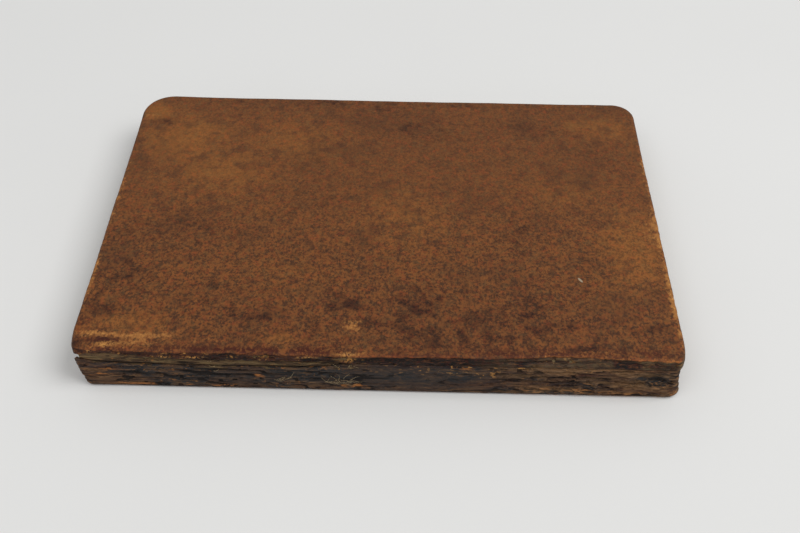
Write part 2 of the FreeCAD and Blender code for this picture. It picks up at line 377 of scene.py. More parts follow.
def calf_material(name, looks):
    """Sprinkled brown calf: peppered, clouded, smudged, rubbed tan where it is worn."""
    shade = Shader(name)
    field, remap, plus, times = shade.field, shade.remap, shade.plus, shade.times
    pepper = shade.noise(0.75, 3, 0.65, shade.stretch((1, 0.85, 1), 3))
    blot = shade.noise(2.2, 3, 0.65, shade.stretch(shift=91))
    plain = shade.math("SUBTRACT", plus(times(pepper, 0.72), times(blot, 0.28)), 0.5)
    grain = plus(times(plain, remap(field("calm"), 0.0, 1.0, 1.3, 0.5)), 0.5)
    hue = shade.noise(1.6, 4, 0.75, shade.stretch(shift=31))
    mottle = shade.noise(4.0, 3, 0.6, shade.stretch(shift=57))
    cloud = shade.noise(17, 3, 0.55, shade.stretch(shift=83))
    streak = shade.noise(1.0, 3, 0.7, shade.stretch((1.0, 0.8, 0.8), 19))
    strata = shade.noise(0.5, 4, 0.7, shade.stretch((0.16, 0.5, 1.3), 11, shade.waved(7, 2.2)))
    bare, layers, _ = strata_colour(shade, (looks.flesh, looks.flesh_dark, looks.flesh_pale, looks.fleck,
                                            looks.dirt_and_shade_black))
    glow = plus(field("glow"), remap(mottle, 0.3, 0.7, 0.25, -0.25))
    smudge = plus(field("smudge"), remap(mottle, 0.3, 0.7, 0.3, -0.35))
    rub = plus(field("wear"), remap(streak, 0.3, 0.7, -0.45, 0.30))
    worn = remap(rub, 0.25, 0.85)
    colour = shade.coats(
        shade.mix(remap(grain, 0.36, 0.62), looks.calf_dark, looks.calf_bright),
        (remap(hue, 0.52, 0.66, 0.0, 0.55), looks.calf_olive),
        (remap(hue, 0.47, 0.34, 0.0, 0.65), looks.calf_red),
        (remap(mottle, 0.5, 0.72, 0.0, 0.45), looks.calf_dark),
        (remap(cloud, 0.52, 0.70, 0.0, 0.35), looks.calf_dark),
        (remap(glow, 0.0, 1.0), looks.glow, "ADD"),
        (remap(smudge, 0.08, 0.9), looks.smudge, "MULTIPLY"),
        (times(worn, 0.8), looks.worn),
        (times(remap(rub, 0.7, 1.1), remap(grain, 0.5, 0.62)), looks.flake),
        # Along the near arris: partly red rot and partly a painted highlight
        (times(field("red"), remap(streak, 0.35, 0.6, 0.25, 1.0)), looks.red_rot_and_highlight),
        (times(field("stain"), remap(grain, 0.62, 0.5, 0.25, 0.95)), looks.maroon),
        # Sides and rim: near-black and maroon, partly darker leather and partly painted shade
        (times(field("dark"), remap(strata, 0.5, 0.66, 1.0, 0.35)), looks.dirt_and_shade_black),
        (times(field("dark"), remap(hue, 0.5, 0.62, 0.0, 0.6)), looks.maroon),
        (times(field("flake"), remap(grain, 0.42, 0.58)), looks.flake),
        (field("olive"), bare),
        (shade.spot(*FLECK), looks.pale_fleck))
    pores = shade.add("ShaderNodeTexVoronoi", Vector=shade.mm, Scale=1 / 0.5).outputs["Distance"]
    relief = plus(times(grain, 0.6), times(pores, 0.3))
    side = shade.math("MAXIMUM", field("olive"), field("dark"))
    soft = shade.bump(relief, 0.14, Normal=shade.bump(mottle, 0.2))
    normal = shade.bump(times(side, layers), 0.3, Normal=soft)
    roughness = remap(plus(grain, times(worn, 0.4)), 0.3, 0.9, 0.5, 0.72)
    return shade.finish(colour, roughness, normal, 0.2)


def strata_colour(shade, palette):
    """Fine layers along the edge, from a palette of base, dark, pale, tan and black: their colour, height and
    fibres."""
    base, dark, pale, tan, black = palette
    remap, waved = shade.remap, shade.waved(8, 2.4)
    fibre = shade.noise(0.30, 3, 0.65, shade.stretch((0.10, 0.4, 1.0), 5, waved))
    layer = shade.noise(0.85, 4, 0.65, shade.stretch((0.13, 0.4, 1.0), 47, waved))
    fleck = shade.noise(0.65, 2, 0.5, shade.stretch((0.45, 0.8, 1.0), 71, waved))
    patch = shade.noise(8, 3, 0.6, shade.stretch((0.6, 1.0, 1.0), 23))
    colour = shade.coats(
        shade.mix(remap(patch, 0.42, 0.6), base, dark),
        (remap(layer, 0.5, 0.62, 0.0, 0.85), pale),
        (remap(fibre, 0.54, 0.68, 0.0, 0.75), pale),
        (shade.times(remap(fleck, 0.60, 0.70), remap(patch, 0.40, 0.62, 0.15, 0.9)), tan),
        # Near-black in the low gaps between fibres and layers: dirt and painted shade
        (remap(fibre, 0.46, 0.34, 0.0, 0.85), black),
        (remap(layer, 0.44, 0.34, 0.0, 0.9), black))
    return colour, shade.plus(shade.times(layer, 0.8), shade.times(fibre, 0.5)), fibre


def spine_material(name, looks):
    """Blackened, dried calf of the spine: layered, split lengthways and rubbed on its ridges, with painted
    highlights on its raised relief and painted shade in its hollows.
    """
    shade = Shader(name)
    field, remap, times = shade.field, shade.remap, shade.times
    colour, height, fibre = strata_colour(
        shade, (looks.spine_brown, looks.spine_black_and_sheen, looks.spine_fibre, looks.fleck, looks.dirt_and_shade_black))
    # Raised relief: lighter, partly rubbed leather and partly a painted highlight
    ridge = times(remap(field("ridge"), 0.55, 0.85), remap(fibre, 0.4, 0.6, 0.3, 1.0))
    rub = shade.plus(field("wear"), remap(fibre, 0.3, 0.7, -0.5, 0.35))
    crumbs = remap(shade.noise(0.9, 2, 0.5, shade.stretch((0.6, 1, 1), 61)), 0.6, 0.68)
    colour = shade.coats(
        colour,
        (times(ridge, 0.6), looks.spine_rubbed_and_highlight),
        # Blue-grey patches: blackest leather and a painted sheen
        (times(field("blue"), remap(fibre, 0.35, 0.65, 1.0, 0.6)), looks.spine_black_and_sheen),
        # Hollows of the relief: painted shade
        (times(remap(field("ridge"), 0.42, 0.18), 0.9), looks.dirt_and_shade_black),
        (times(field("red"), remap(fibre, 0.35, 0.6, 0.2, 1.0)), looks.maroon),
        (remap(rub, 0.3, 0.85, 0.0, 0.9), looks.spine_tan),
        (times(field("olive"), remap(fibre, 0.35, 0.55, 0.3, 1.0)), looks.spine_rubbed_and_highlight),
        (times(field("speck"), crumbs), looks.flake))
    roughness = remap(shade.noise(0.45, 3, 0.7), 0.3, 0.7, 0.6, 0.85)
    return shade.finish(colour, roughness, shade.bump(height, 0.35), 0.25)


def layer_material(name, palette):
    """Split flesh side, glue and board seen in the open joint, near-black with painted shadow where marked
    dark.
    """
    shade = Shader(name)
    colour, height, fibre = strata_colour(shade, palette)
    colour = shade.mix(shade.field("dark"), colour, palette[-1])
    return shade.finish(colour, shade.remap(fibre, 0.3, 0.7, 0.75, 0.95), shade.bump(height, 0.25), 0.2)


def paper_material(name, base, foxed, edges=None):
    """Old rag paper: cloudy, foxed, with fine laid lines, or the lines of the leaves on its edges.
    edges is the block's middle and half size in mm, where the leaves' edges are to show."""
    shade = Shader(name)
    remap = shade.remap
    fibres = shade.noise(0.6, 4, 0.7)
    if edges:
        lines = shade.noise(0.16, 3, 0.7, shade.stretch((0.02, 0.02, 1.0)))
        dust = shade.times(remap(lines, 0.5, 0.68, 0.0, 0.6), shade.outside(edges, 1.2))
    else:
        lines = shade.noise(1.1, 3, 0.7, shade.stretch((0.05, 1.0, 1.0)))
        dust = remap(lines, 0.5, 0.68, 0.0, 0.12)
    colour = shade.coats(
        base,
        (remap(shade.noise(18, 4, 0.6), 0.35, 0.7, 0.0, 0.5), foxed),
        (remap(shade.noise(4.5, 3, 0.6), 0.62, 0.74, 0.0, 0.55), foxed),
        (dust, tuple(part * 0.45 for part in foxed)))
    height = shade.plus(lines, shade.times(fibres, 0.5))
    return shade.finish(colour, remap(fibres, 0.3, 0.7, 0.82, 0.95), shade.bump(height, 0.06), 0.2)


def thread_material(name, base, dark):
    """Twisted hemp or linen: fine slanting strands."""
    shade = Shader(name)
    strand = shade.noise(0.22, 3, 0.6, shade.stretch((1.0, 1.0, 0.35)))
    soil = shade.noise(1.5, 3, 0.6)
    colour = shade.coats(dark, (shade.remap(strand, 0.35, 0.65), base),
                         (shade.remap(soil, 0.5, 0.75, 0.0, 0.5), dark))
    return shade.finish(colour, shade.remap(soil, 0.3, 0.7, 0.7, 0.9), shade.bump(strand, 0.12), 0.25)


def floor_material(name, base):
    shade = Shader(name)
    cloud = shade.remap(shade.noise(160, 3, 0.5), 0.3, 0.7)
    weave = shade.noise(0.9, 2, 0.5)
    colour = shade.mix(cloud, base, tuple(part * 0.985 for part in base))
    return shade.finish(colour, shade.remap(weave, 0.3, 0.7, 0.85, 0.92), shade.bump(weave, 0.02), 0.1)


# Settings that a user may change

def colour_setting(name, description, *display):
    return bpy.props.FloatVectorProperty(name=name, description=description, subtype="COLOR", size=3,
                                         min=0.0, max=1.0, default=srgb(*display))


def length_setting(name, description, default_mm):
    return bpy.props.FloatProperty(name=name, description=description, default=default_mm * MM,
                                   min=0.0, unit="LENGTH", precision=5)


def angle_setting(name, description, degrees):
    return bpy.props.FloatProperty(name=name, description=description, subtype="ANGLE",
                                   default=math.radians(degrees))


class BookLeatherSettings(bpy.types.PropertyGroup):
    """Sizes and colours of the leather."""
    head_corner: length_setting("Head corner", "Round corner at the head of the fore-edge", 10.5)
    tail_corner: length_setting("Tail corner", "Round corner at the tail of the fore-edge", 7.6)
    spine_corner: length_setting("Spine corner", "Worn corners beside the spine", 2.2)
    arris: length_setting("Arris", "Rounding over the outer edge of the boards", 1.2)
    near_arris: length_setting("Near arris", "Rounding over the edge beside the spine", 0.55)
    thickness: length_setting("Thickness", "Leather on the boards", 0.7)
    pared: length_setting("Pared", "Leather turned in, pared thin", 0.4)
    turn_in: length_setting("Turn-in", "Width of the leather turned in", 14.0)
    spine_head_worn: length_setting("Spine head wear", "How far the head end of the spine is worn in", 0.5)
    spine_tail_worn: length_setting("Spine tail wear", "How far the tail end of the spine is worn in", 1.9)
    spine_thickness: length_setting("Spine thickness", "Leather over the spine", 0.8)
    calf_dark: colour_setting("Dark calf", "Darker tone of the pepper", 70, 43, 27)
    calf_bright: colour_setting("Bright calf", "Lighter tone of the pepper", 130, 79, 39)
    calf_olive: colour_setting("Olive calf", "Greenish tone of the pepper", 98, 73, 44)
    calf_red: colour_setting("Red calf", "Reddish tone of the pepper", 136, 68, 34)
    glow: colour_setting("Glow", "Light added where the calf is cleaner", 80, 50, 14)
    smudge: colour_setting("Smudge", "Tint of calf darkened by hands", 146, 138, 168)
    pale_fleck: colour_setting("Pale fleck", "One small bare fleck on the upper cover", 158, 143, 120)
    worn: colour_setting("Worn", "Rubbed through to the tan", 170, 114, 60)
    # Also the painted highlight along the near arris of the covers
    red_rot_and_highlight: colour_setting("Red rot", "Powdery red wear", 150, 76, 36)
    fleck: colour_setting("Fleck", "Torn bits in the layers", 150, 100, 54)
    maroon: colour_setting("Maroon", "Old red dye in the cracks", 68, 27, 17)
    # Near-black of dirt and glue, also laid as painted shade in cracks, gaps, hollows and on the covers'
    # sides
    dirt_and_shade_black: colour_setting("Blackened", "Dirt and glue in the cracks", 20, 13, 10)
    flake: colour_setting("Flake", "Pale lifted flakes", 196, 140, 74)
    flesh: colour_setting("Flesh side", "Bare layer under the grain", 100, 77, 53)
    flesh_dark: colour_setting("Dark flesh side", "Darker patches of the bare layer", 68, 50, 35)
    flesh_pale: colour_setting("Pale flesh side", "Fibres of the bare layer", 120, 100, 68)
    spine_brown: colour_setting("Spine brown", "Dark leather of the spine", 78, 53, 37)
    # Also the painted blue-grey sheen on the spine
    spine_black_and_sheen: colour_setting("Spine black", "Blackest part of the spine", 40, 41, 43)
    spine_fibre: colour_setting("Spine fibre", "Dry fibres on the spine", 104, 76, 50)
    # Partly rubbed leather and partly the painted highlight on the spine's raised relief
    spine_rubbed_and_highlight: colour_setting("Spine rubbed", "Ridges of the spine", 136, 102, 68)
    spine_tan: colour_setting("Spine tan", "Tan lines rubbed into the spine", 166, 106, 54)
    corner_wear: length_setting("Corner wear", "How far the upper cover's near corners are rubbed", 1.5)
    corner_wear_low: length_setting("Lower corner wear", "The same on the lower cover", 2.4)


class BookPaperSettings(bpy.types.PropertyGroup):
    """The leaves, boards and threads."""
    leaf_count: bpy.props.IntProperty(name="Leaves", description="Leaves in the text block",
                                      default=72, min=8, max=200)
    leaf_drift: length_setting("Leaf drift", "How unevenly the leaves lie", 0.22)
    thread_turns: bpy.props.IntProperty(name="Thread turns", description="Turns of thread on an endband",
                                        default=22, min=4, max=80)
    leaf_head_trim: length_setting("Head trim", "How far the leaves stop short of the block at the head", 0.5)
    leaf_tail_trim: length_setting("Tail trim", "How far the leaves stop short of the block at the tail", 1.6)
    leaf_corner: length_setting("Leaf corner", "Round corners at the fore-edge of the leaves", 7.5)
    endband_gap: length_setting("Endband gap", "Room between an endband and the leather over it", 0.35)
    endband_radius: length_setting("Endband radius", "Radius of the wound endbands", 0.55)
    leaf_colour: colour_setting("Leaves", "Aged rag paper", 206, 188, 152)
    foxing: colour_setting("Foxing", "Brown stain in the paper", 168, 132, 88)
    board_colour: colour_setting("Board", "Pasteboard", 104, 90, 64)
    thread_colour: colour_setting("Thread", "Faded thread", 190, 170, 132)
    thread_dark: colour_setting("Thread dirt", "Soil in the thread", 112, 90, 62)


class BookStageSettings(bpy.types.PropertyGroup):
    """Floor, light and camera."""
    floor_colour: colour_setting("Floor", "Pale floor", 232, 232, 231)
    sky: bpy.props.FloatProperty(name="Sky", description="Strength of the even light", default=0.42, min=0.0)
    key: bpy.props.FloatProperty(name="Key", description="Power of the large soft lamp", default=25.0,
                                 min=0.0, unit="POWER")
    fill_share: bpy.props.FloatProperty(name="Fill", description="Power of the second lamp, against the key",
                                        default=0.35, min=0.0)
    camera_place: bpy.props.FloatVectorProperty(name="Camera place", description="Where the camera stands",
                                                size=3, subtype="XYZ", unit="LENGTH",
                                                default=(0.0078, -0.23693, 0.23644))
    pitch: angle_setting("Pitch", "Downward tilt", 46.013)
    yaw: angle_setting("Yaw", "Turn to the left", 0.685)
    roll: angle_setting("Roll", "Tilt of the horizon", 0.735)
    lens: bpy.props.FloatProperty(name="Lens", description="Focal length on a 36 mm sensor", default=45.0,
                                  min=10.0)


# Covers

# Spots on the outer faces: place along and across, half sizes, strength
UPPER_SMUDGES = (
    (-10, -40, 6, 3.6, 0.7), (11.5, -40, 11, 8, 0.62), (14, -50, 14, 4, 0.4), (28, -45, 7, 5, 0.6),
    (43.5, -44, 8, 12, 0.55), (43, -8, 8, 11, 0.34), (81.5, -50, 5, 6, 0.45), (-43, 57, 18, 2.6, 0.4),
    (11, 44, 13, 8, 0.34), (51, 44, 13, 6, 0.28), (-79, 44, 6, 2.6, 0.5), (82.5, -33, 5, 2.6, 0.3),
    (-77, -29, 8, 8, 0.46), (-62, -10, 20, 9, 0.33), (-37, -45.7, 11, 2.6, 0.65), (-82, -45, 4, 3, 0.75),
    (-87, -57, 2.4, 3.4, 0.7), (66, -55.6, 14, 1.8, 0.55), (38, -56.5, 12, 1.6, 0.4), (-1, -54, 8, 2, 0.5),
    (-22, 57.5, 9, 2, 0.55), (-3, 55, 12, 3, 0.4), (72, 30, 9, 6, 0.25), (-28, 20, 12, 9, 0.2),
    (-63, -9, 3.6, 4, 0.35), (20, 57.5, 60, 1.6, 0.4), (-50, -36, 8, 5, 0.35), (62, -22, 8, 6, 0.25),
    (20, -47, 62, 15, 0.42), (-40, -46, 30, 8, 0.3), (0, -20, 70, 18, 0.12), (50, -58, 40, 1.2, 0.35),
    (-79.2, -55.9, 4.2, 1.1, 1.1), (-77.7, -24.1, 5.5, 4.2, 0.4), (-75.2, -35.7, 5.3, 3.2, 0.35),
    (-61.5, -10.3, 8.8, 7.1, 0.3), (-27.9, 2.9, 16.9, 10.3, 0.25), (7.4, 43.8, 9.8, 6.8, 0.4),
    (41.4, -7.2, 7, 8.9, 0.3), (80.4, -47.7, 4.1, 4.1, 0.5), (13, -37.1, 10.7, 8.7, 0.3),
    (-84.2, -40.8, 2, 8.5, 0.4), (-35.6, -46.4, 6.4, 1.6, 0.4),
)
UPPER_GLOW = (
    (-70, 36, 15, 13, 0.95), (-56, 18, 20, 15, 0.65), (-32, 35, 18, 13, 0.55), (6, -4, 20, 17, 0.45),
    (78, -16, 11, 20, 0.75), (76, 45, 9, 8, 0.6), (-27.9, -53.8, 6.3, 2.6, 0.6), (-71, -50, 14, 5, 0.7),
    (60, 12, 14, 8, 0.4), (-40, 2, 12, 8, 0.3), (-83, 50, 6, 5, 0.9), (66, 47, 5, 3, 0.8),
    (-30, -28, 14, 7, 0.3), (68, -38, 8, 2.5, 0.5),
)
UPPER_WEAR = (
    (-84.4, -54.6, 1.2, 1.2, 0.9), (-78.5, -53.3, 7, 1, 1.5), (-67, -53.7, 10, 1.2, 1.35),
    (-68, -56.4, 14, 2, 0.7), (-78.6, -57.5, 2.6, 0.7, 1), (-53, -55.4, 10, 1.6, 0.4),
    (-86, -54, 3, 3, 0.5), (-8, -48.7, 3.4, 3.2, 0.8), (87, -36, 1.5, 18, 1.15), (86.9, -6, 1.7, 13, 1.1),
    (87.1, 22, 1.3, 16, 0.8), (84.5, -8, 3.2, 7, 0.55), (-87.8, -30, 1.4, 14, 0.8),
    (-87.8, 2, 1.3, 20, 0.75), (-85, 48, 4, 3, 0.45), (62, -56.6, 14, 0.8, 0.5), (-44, -6, 4, 1.2, 0.35),
    (70, 58.6, 12, 0.9, 0.4), (78, -58, 10, 0.8, 0.4),
)
UPPER_STAINS = (
    (-76.5, -55.8, 6, 1.2, 1.3), (-77, -59, 8, 0.6, 0.9), (46, -57.6, 30, 1.8, 0.75),
    (74, -56.8, 12, 2, 0.7), (10, -58.8, 20, 0.8, 0.6), (-66, -59.2, 6, 0.8, 0.5),
    (-40, -58.5, 26, 1.4, 1.2), (-56, -58.8, 8, 1, 0.9), (-20, -58.3, 10, 1.6, 1.1), (-86, -50, 2, 3, 0.6),
)
LOWER_SMUDGES = (
    (-40, 20, 22, 14, 0.5), (30, -30, 26, 12, 0.55), (60, 34, 16, 12, 0.45), (-66, -34, 12, 14, 0.5),
    (0, 50, 30, 6, 0.5), (10, 4, 18, 12, 0.3),
)
LOWER_WEAR = (
    (-86, -20, 2, 30, 0.6), (87, 10, 2, 34, 0.6), (0, 58.5, 60, 1.4, 0.5), (-30, -10, 30, 3, 0.3),
    (48, 12, 5, 22, 0.25), (-84, 54, 4, 4, 0.8), (85, 54, 4, 4, 0.8), (20, 30, 30, 2, 0.25),
)
LOWER_GLOW = ((-50, 30, 26, 16, 0.5), (40, -10, 24, 20, 0.5), (70, -44, 12, 8, 0.4))
RAISED_CORNERS = ((-84, 57, 16, 12, 1), (84, 57, 14, 12, 0.6))
RAISED_FLAKES = ((-78, -57.4, 2.2, 0.8, 1), (-9, -59.2, 3, 0.8, 0.9), (-82, -55.5, 3, 0.9, 0.8))
# Spots on the near side: place along, height, half sizes, strength
CRACKS = ((46, 14.5, 18, 0.26, 1), (80, 14.2, 8, 0.22, 0.8))
# Where painted shadow fills those cracks: the bare layers are kept off them, so they stay near-black
CRACK_SHADOWS = ((46, 14.5, 18, 0.3, 1), (80, 14.2, 8, 0.25, 0.8))
TORN_FLAKES = (
    (-61.1, 14.1, 1.4, 0.3, 1.2), (-52, 14.2, 2.6, 0.3, 1.2), (-41.8, 14.6, 1.1, 0.3, 1.2),
    (-33, 14.9, 2.2, 0.3, 1.2), (-20.5, 15.1, 2.6, 0.3, 1.2),
)
# Height of the torn leather edge along the near side of the upper cover, from the head
TORN_EDGE = (
    (-88.4, 13.9), (-86, 13.9), (-84, 14.7), (-76, 14.9), (-70, 14.3), (-64, 13.7), (-44, 13.3),
    (-18, 13.4), (-13, 13.4), (-9, 12.9),
)
# How far the near edge of each cover is worn back
UPPER_WORN_BACK = (
    (-88, 0.7), (-78, 0.7), (-60, 0.35), (-22, 0.15), (10, 0.35), (36, 0.75), (51, 1.7), (62, 1.5),
    (76, 0.9), (87, 0.5),
)
LOWER_WORN_BACK = ((-88, 0.4), (88, 0.4))
# Stations around a cover: near, tail, far and head side
RING_COUNTS = (540, 240, 180, 240)
BOARD_COUNTS = (260, 60, 90, 60)
# The settings for the round corners, in the order of an outline
CORNERS = ("spine_corner", "spine_corner", "tail_corner", "head_corner")
# Gap between the leather and the board inside it
SKIN_GAP = 0.02
# How far from the spine the corners are rubbed
EASE_REACH = 9.0
# The most that a surface may stand out where an open cover comes to lie against the spine
HINGE_PLAY = 0.1

# What differs between the two covers. A flipped cover lies with its outer face down
Side = namedtuple("Side", "flip lowest_edge worn_back corner_wear wear smudges glow stains")


def in_mm(settings, *names):
    return [getattr(settings, name) / MM for name in names]


def near_weight(y, edge):
    """1 on the near side of a cover and 0 elsewhere."""
    return smooth(-y, -edge - 1.6, -edge - 0.35)


def ring_points(places, height):
    return np.column_stack([places, np.broadcast_to(height, len(places))])


def line_points(x):
    return np.column_stack([x, np.zeros_like(x), np.zeros_like(x)])


def torn_upper_edge(x):
    """The ragged lower edge of the leather on the near side of the upper cover, as a height."""
    low, high = box_mm("upper_cover_leather")
    ragged = fractal(line_points(x), 3.2, 83, 4) * 0.5 * (0.25 + 0.75 * smooth(-x, 9, 12))
    return np.clip(along(x, *TORN_EDGE) + ragged, low[2] + 0.02, high[2] - 1.25)


def low_near_edge(x):
    """On the lower cover, the near side stops low, where the spine leather takes over."""
    return np.full_like(x, box_mm("lower_cover_leather")[1][2] - 1.3)


SIDES = {
    "upper": Side(False, torn_upper_edge, UPPER_WORN_BACK, "corner_wear",
                  UPPER_WEAR, UPPER_SMUDGES, UPPER_GLOW, UPPER_STAINS),
    "lower": Side(True, low_near_edge, LOWER_WORN_BACK, "corner_wear_low",
                  LOWER_WEAR, LOWER_SMUDGES, LOWER_GLOW, ()),
}


def cover_rings(low, high, leather, lowest_edge):
    """The skin around one board, outer face up, as closed rings of points and directions.
    lowest_edge gives the bottom of the near side for each x."""
    arris, near_arris, thick, pared, turn_in = in_mm(
        leather, "arris", "near_arris", "thickness", "pared", "turn_in")
    radii = in_mm(leather, *CORNERS)
    top, base, field, inner = high[2], low[2], max(radii) + 1.0, thick + SKIN_GAP

    def ring(inset, height, rise, near_inset=None):
        near_inset = inset if near_inset is None else near_inset
        places, normals = outline(low, high, radii, RING_COUNTS, inset, near_inset)
        flat = math.sqrt(max(1 - rise * rise, 0))
        return ring_points(places, height), np.column_stack([normals * flat, np.full(len(places), rise)])

    wall = outline(low, high, radii, RING_COUNTS, 0, 0)[0]
    near = near_weight(wall[:, 1], low[1])
    drop = arris + near * (near_arris - arris)
    rings = [ring(inset, top, 1.0, near_inset)
             for inset, near_inset in zip(np.linspace(field, arris, 12), np.linspace(field, near_arris, 12))]
    for turn in np.linspace(0, math.pi / 2, 6)[1:]:
        left = 1 - math.sin(turn)
        rings.append(ring(arris * left, top - drop * (1 - math.cos(turn)), math.cos(turn), near_arris * left))
    bottom = base + near * (lowest_edge(wall[:, 0]) - base)
    for share in np.linspace(0, 1, 14)[1:]:
        rings.append(ring(0, (top - drop) * (1 - share) + (bottom + 0.2) * share, 0.0))
    rings.append(ring(0.06, bottom + 0.06, -0.5))
    outer_count = len(rings)
    for inset in (0.25, inner, turn_in):
        rings.append(ring(inset, bottom, -1.0, min(inset, inner)))
    for inset in (turn_in, inner):
        rings.append(ring(inset, bottom + pared, 0.0, inner))
    rings.append(ring(inner, top - thick, 0.0))
    return rings, outer_count, field


def cover_relief(points, wear, lifted):
    """How far a cover's face stands off its plain shape, in mm. A lifted one has raised far corners."""
    broad = fractal(points, (38, 30, 30), 11, 2) * 0.12
    dents = fractal(points, (6, 5, 4), 23, 3) * 0.06
    scuff = -0.12 * wear * smooth(noise(points, (1.4, 1.1, 1.1), 31), 0.35, 0.7)
    raised = 0.26 * lifted * marks(points, (0, 1), RAISED_CORNERS)
    return broad + dents + scuff + raised + 0.22 * marks(points, (0, 1), RAISED_FLAKES)


def near_side_relief(points, normals, edge):
    """Long splits and ridges on the near side, with small bites out of its top edge."""
    beside = smooth(-points[:, 1], -edge - 2.4, -edge - 0.4)
    layers = fractal(points, (7, 3, 0.7), 41, 3) * 0.30
    rough = fractal(points, (1.5, 1.5, 0.9), 43, 2) * 0.20
    splits = -0.42 * smooth(1 - np.abs(noise(points, (10, 4, 1.0), 47) * 2 - 1), 0.86, 0.98)
    bites = -0.45 * smooth(noise(points, (1.6, 1.6, 2.5), 53), 0.72, 0.86)
    crack = -0.5 * marks(points, (0, 2), CRACKS)
    upright = 1 - np.abs(normals[:, 2])
    return beside * (rough + upright * (layers + splits + bites + crack))


def wear_back(points, node, profile):
    """How far each point of the near side is worn back, in mm, for a cover with its outer face up."""
    low, high = box_mm(node)
    ragged = fractal(points * (1, 0, 0), 3.0, 59, 4) * 0.3
    height = smooth(points[:, 2], low[2] + 0.4, high[2] - 0.4)
    reach = 1 - smooth(points[:, 1], low[1] + 0.2, low[1] + 7)
    return np.maximum(along(points[:, 0], *profile) + ragged, 0.05) * height * reach


def ease_corners(points, node, wear):
    """Draws the worn corners beside the spine inwards, with all that lies within them."""
    low, high = box_mm(node)
    middle, half = (low[0] + high[0]) / 2, (high[0] - low[0]) / 2
    near = np.clip((low[1] + EASE_REACH - points[:, 1]) / EASE_REACH, 0, 1) ** 2
    end = smooth(np.abs(points[:, 0] - middle), half - EASE_REACH, half - 0.5)
    points[:, 0] -= np.sign(points[:, 0] - middle) * wear / MM * near * end


def build_cover(name, leather, material):
    """The leather of the upper or lower cover."""
    side, node = SIDES[name], name + "_cover_leather"
    low, high = box_mm(node)
    rings, outer_count, field = cover_rings(low, high, leather, side.lowest_edge)
    count, total = len(rings[0][0]), len(rings)
    points = [places for places, _ in rings]
    normals = [directions * (number < outer_count) for number, (_, directions) in enumerate(rings)]
    faces = [face for number in range(1, total)
             for face in loop_quads((number - 1) * count, number * count, count)]
    faces.append(list(range((total - 1) * count, total * count)))
    columns, rows, inside = RING_COUNTS[2] + 1, RING_COUNTS[3] // 2 + 1, field + 0.8
    x, y = np.meshgrid(np.linspace(low[0] + inside, high[0] - inside, columns),
                       np.linspace(low[1] + inside, high[1] - inside, rows))
    points.append(np.column_stack([x.ravel(), y.ravel(), np.full(x.size, high[2])]))
    normals.append(np.tile((0.0, 0.0, 1.0), (x.size, 1)))
    faces += grid_quads(total * count, columns, rows)
    faces += stitch(0, RING_COUNTS, border_of(total * count, columns, rows))
    points, normals = np.concatenate(points), np.concatenate(normals)
    back = wear_back(points, node, side.worn_back)
    relief = cover_relief(points, marks(points, (0, 1), side.wear), not side.flip)
    relief = relief + near_side_relief(points, normals, low[1])
    relief = np.minimum(relief, HINGE_PLAY + 1 - near_weight(points[:, 1], low[1]))
    points = points + normals * relief[:, None]
    points[:, 1] += back
    ease_corners(points, node, getattr(leather, side.corner_wear))
    if side.flip:
        points[:, 2] = low[2] + high[2] - points[:, 2]
    return new_piece(name + "_cover_calf", points, faces, material)


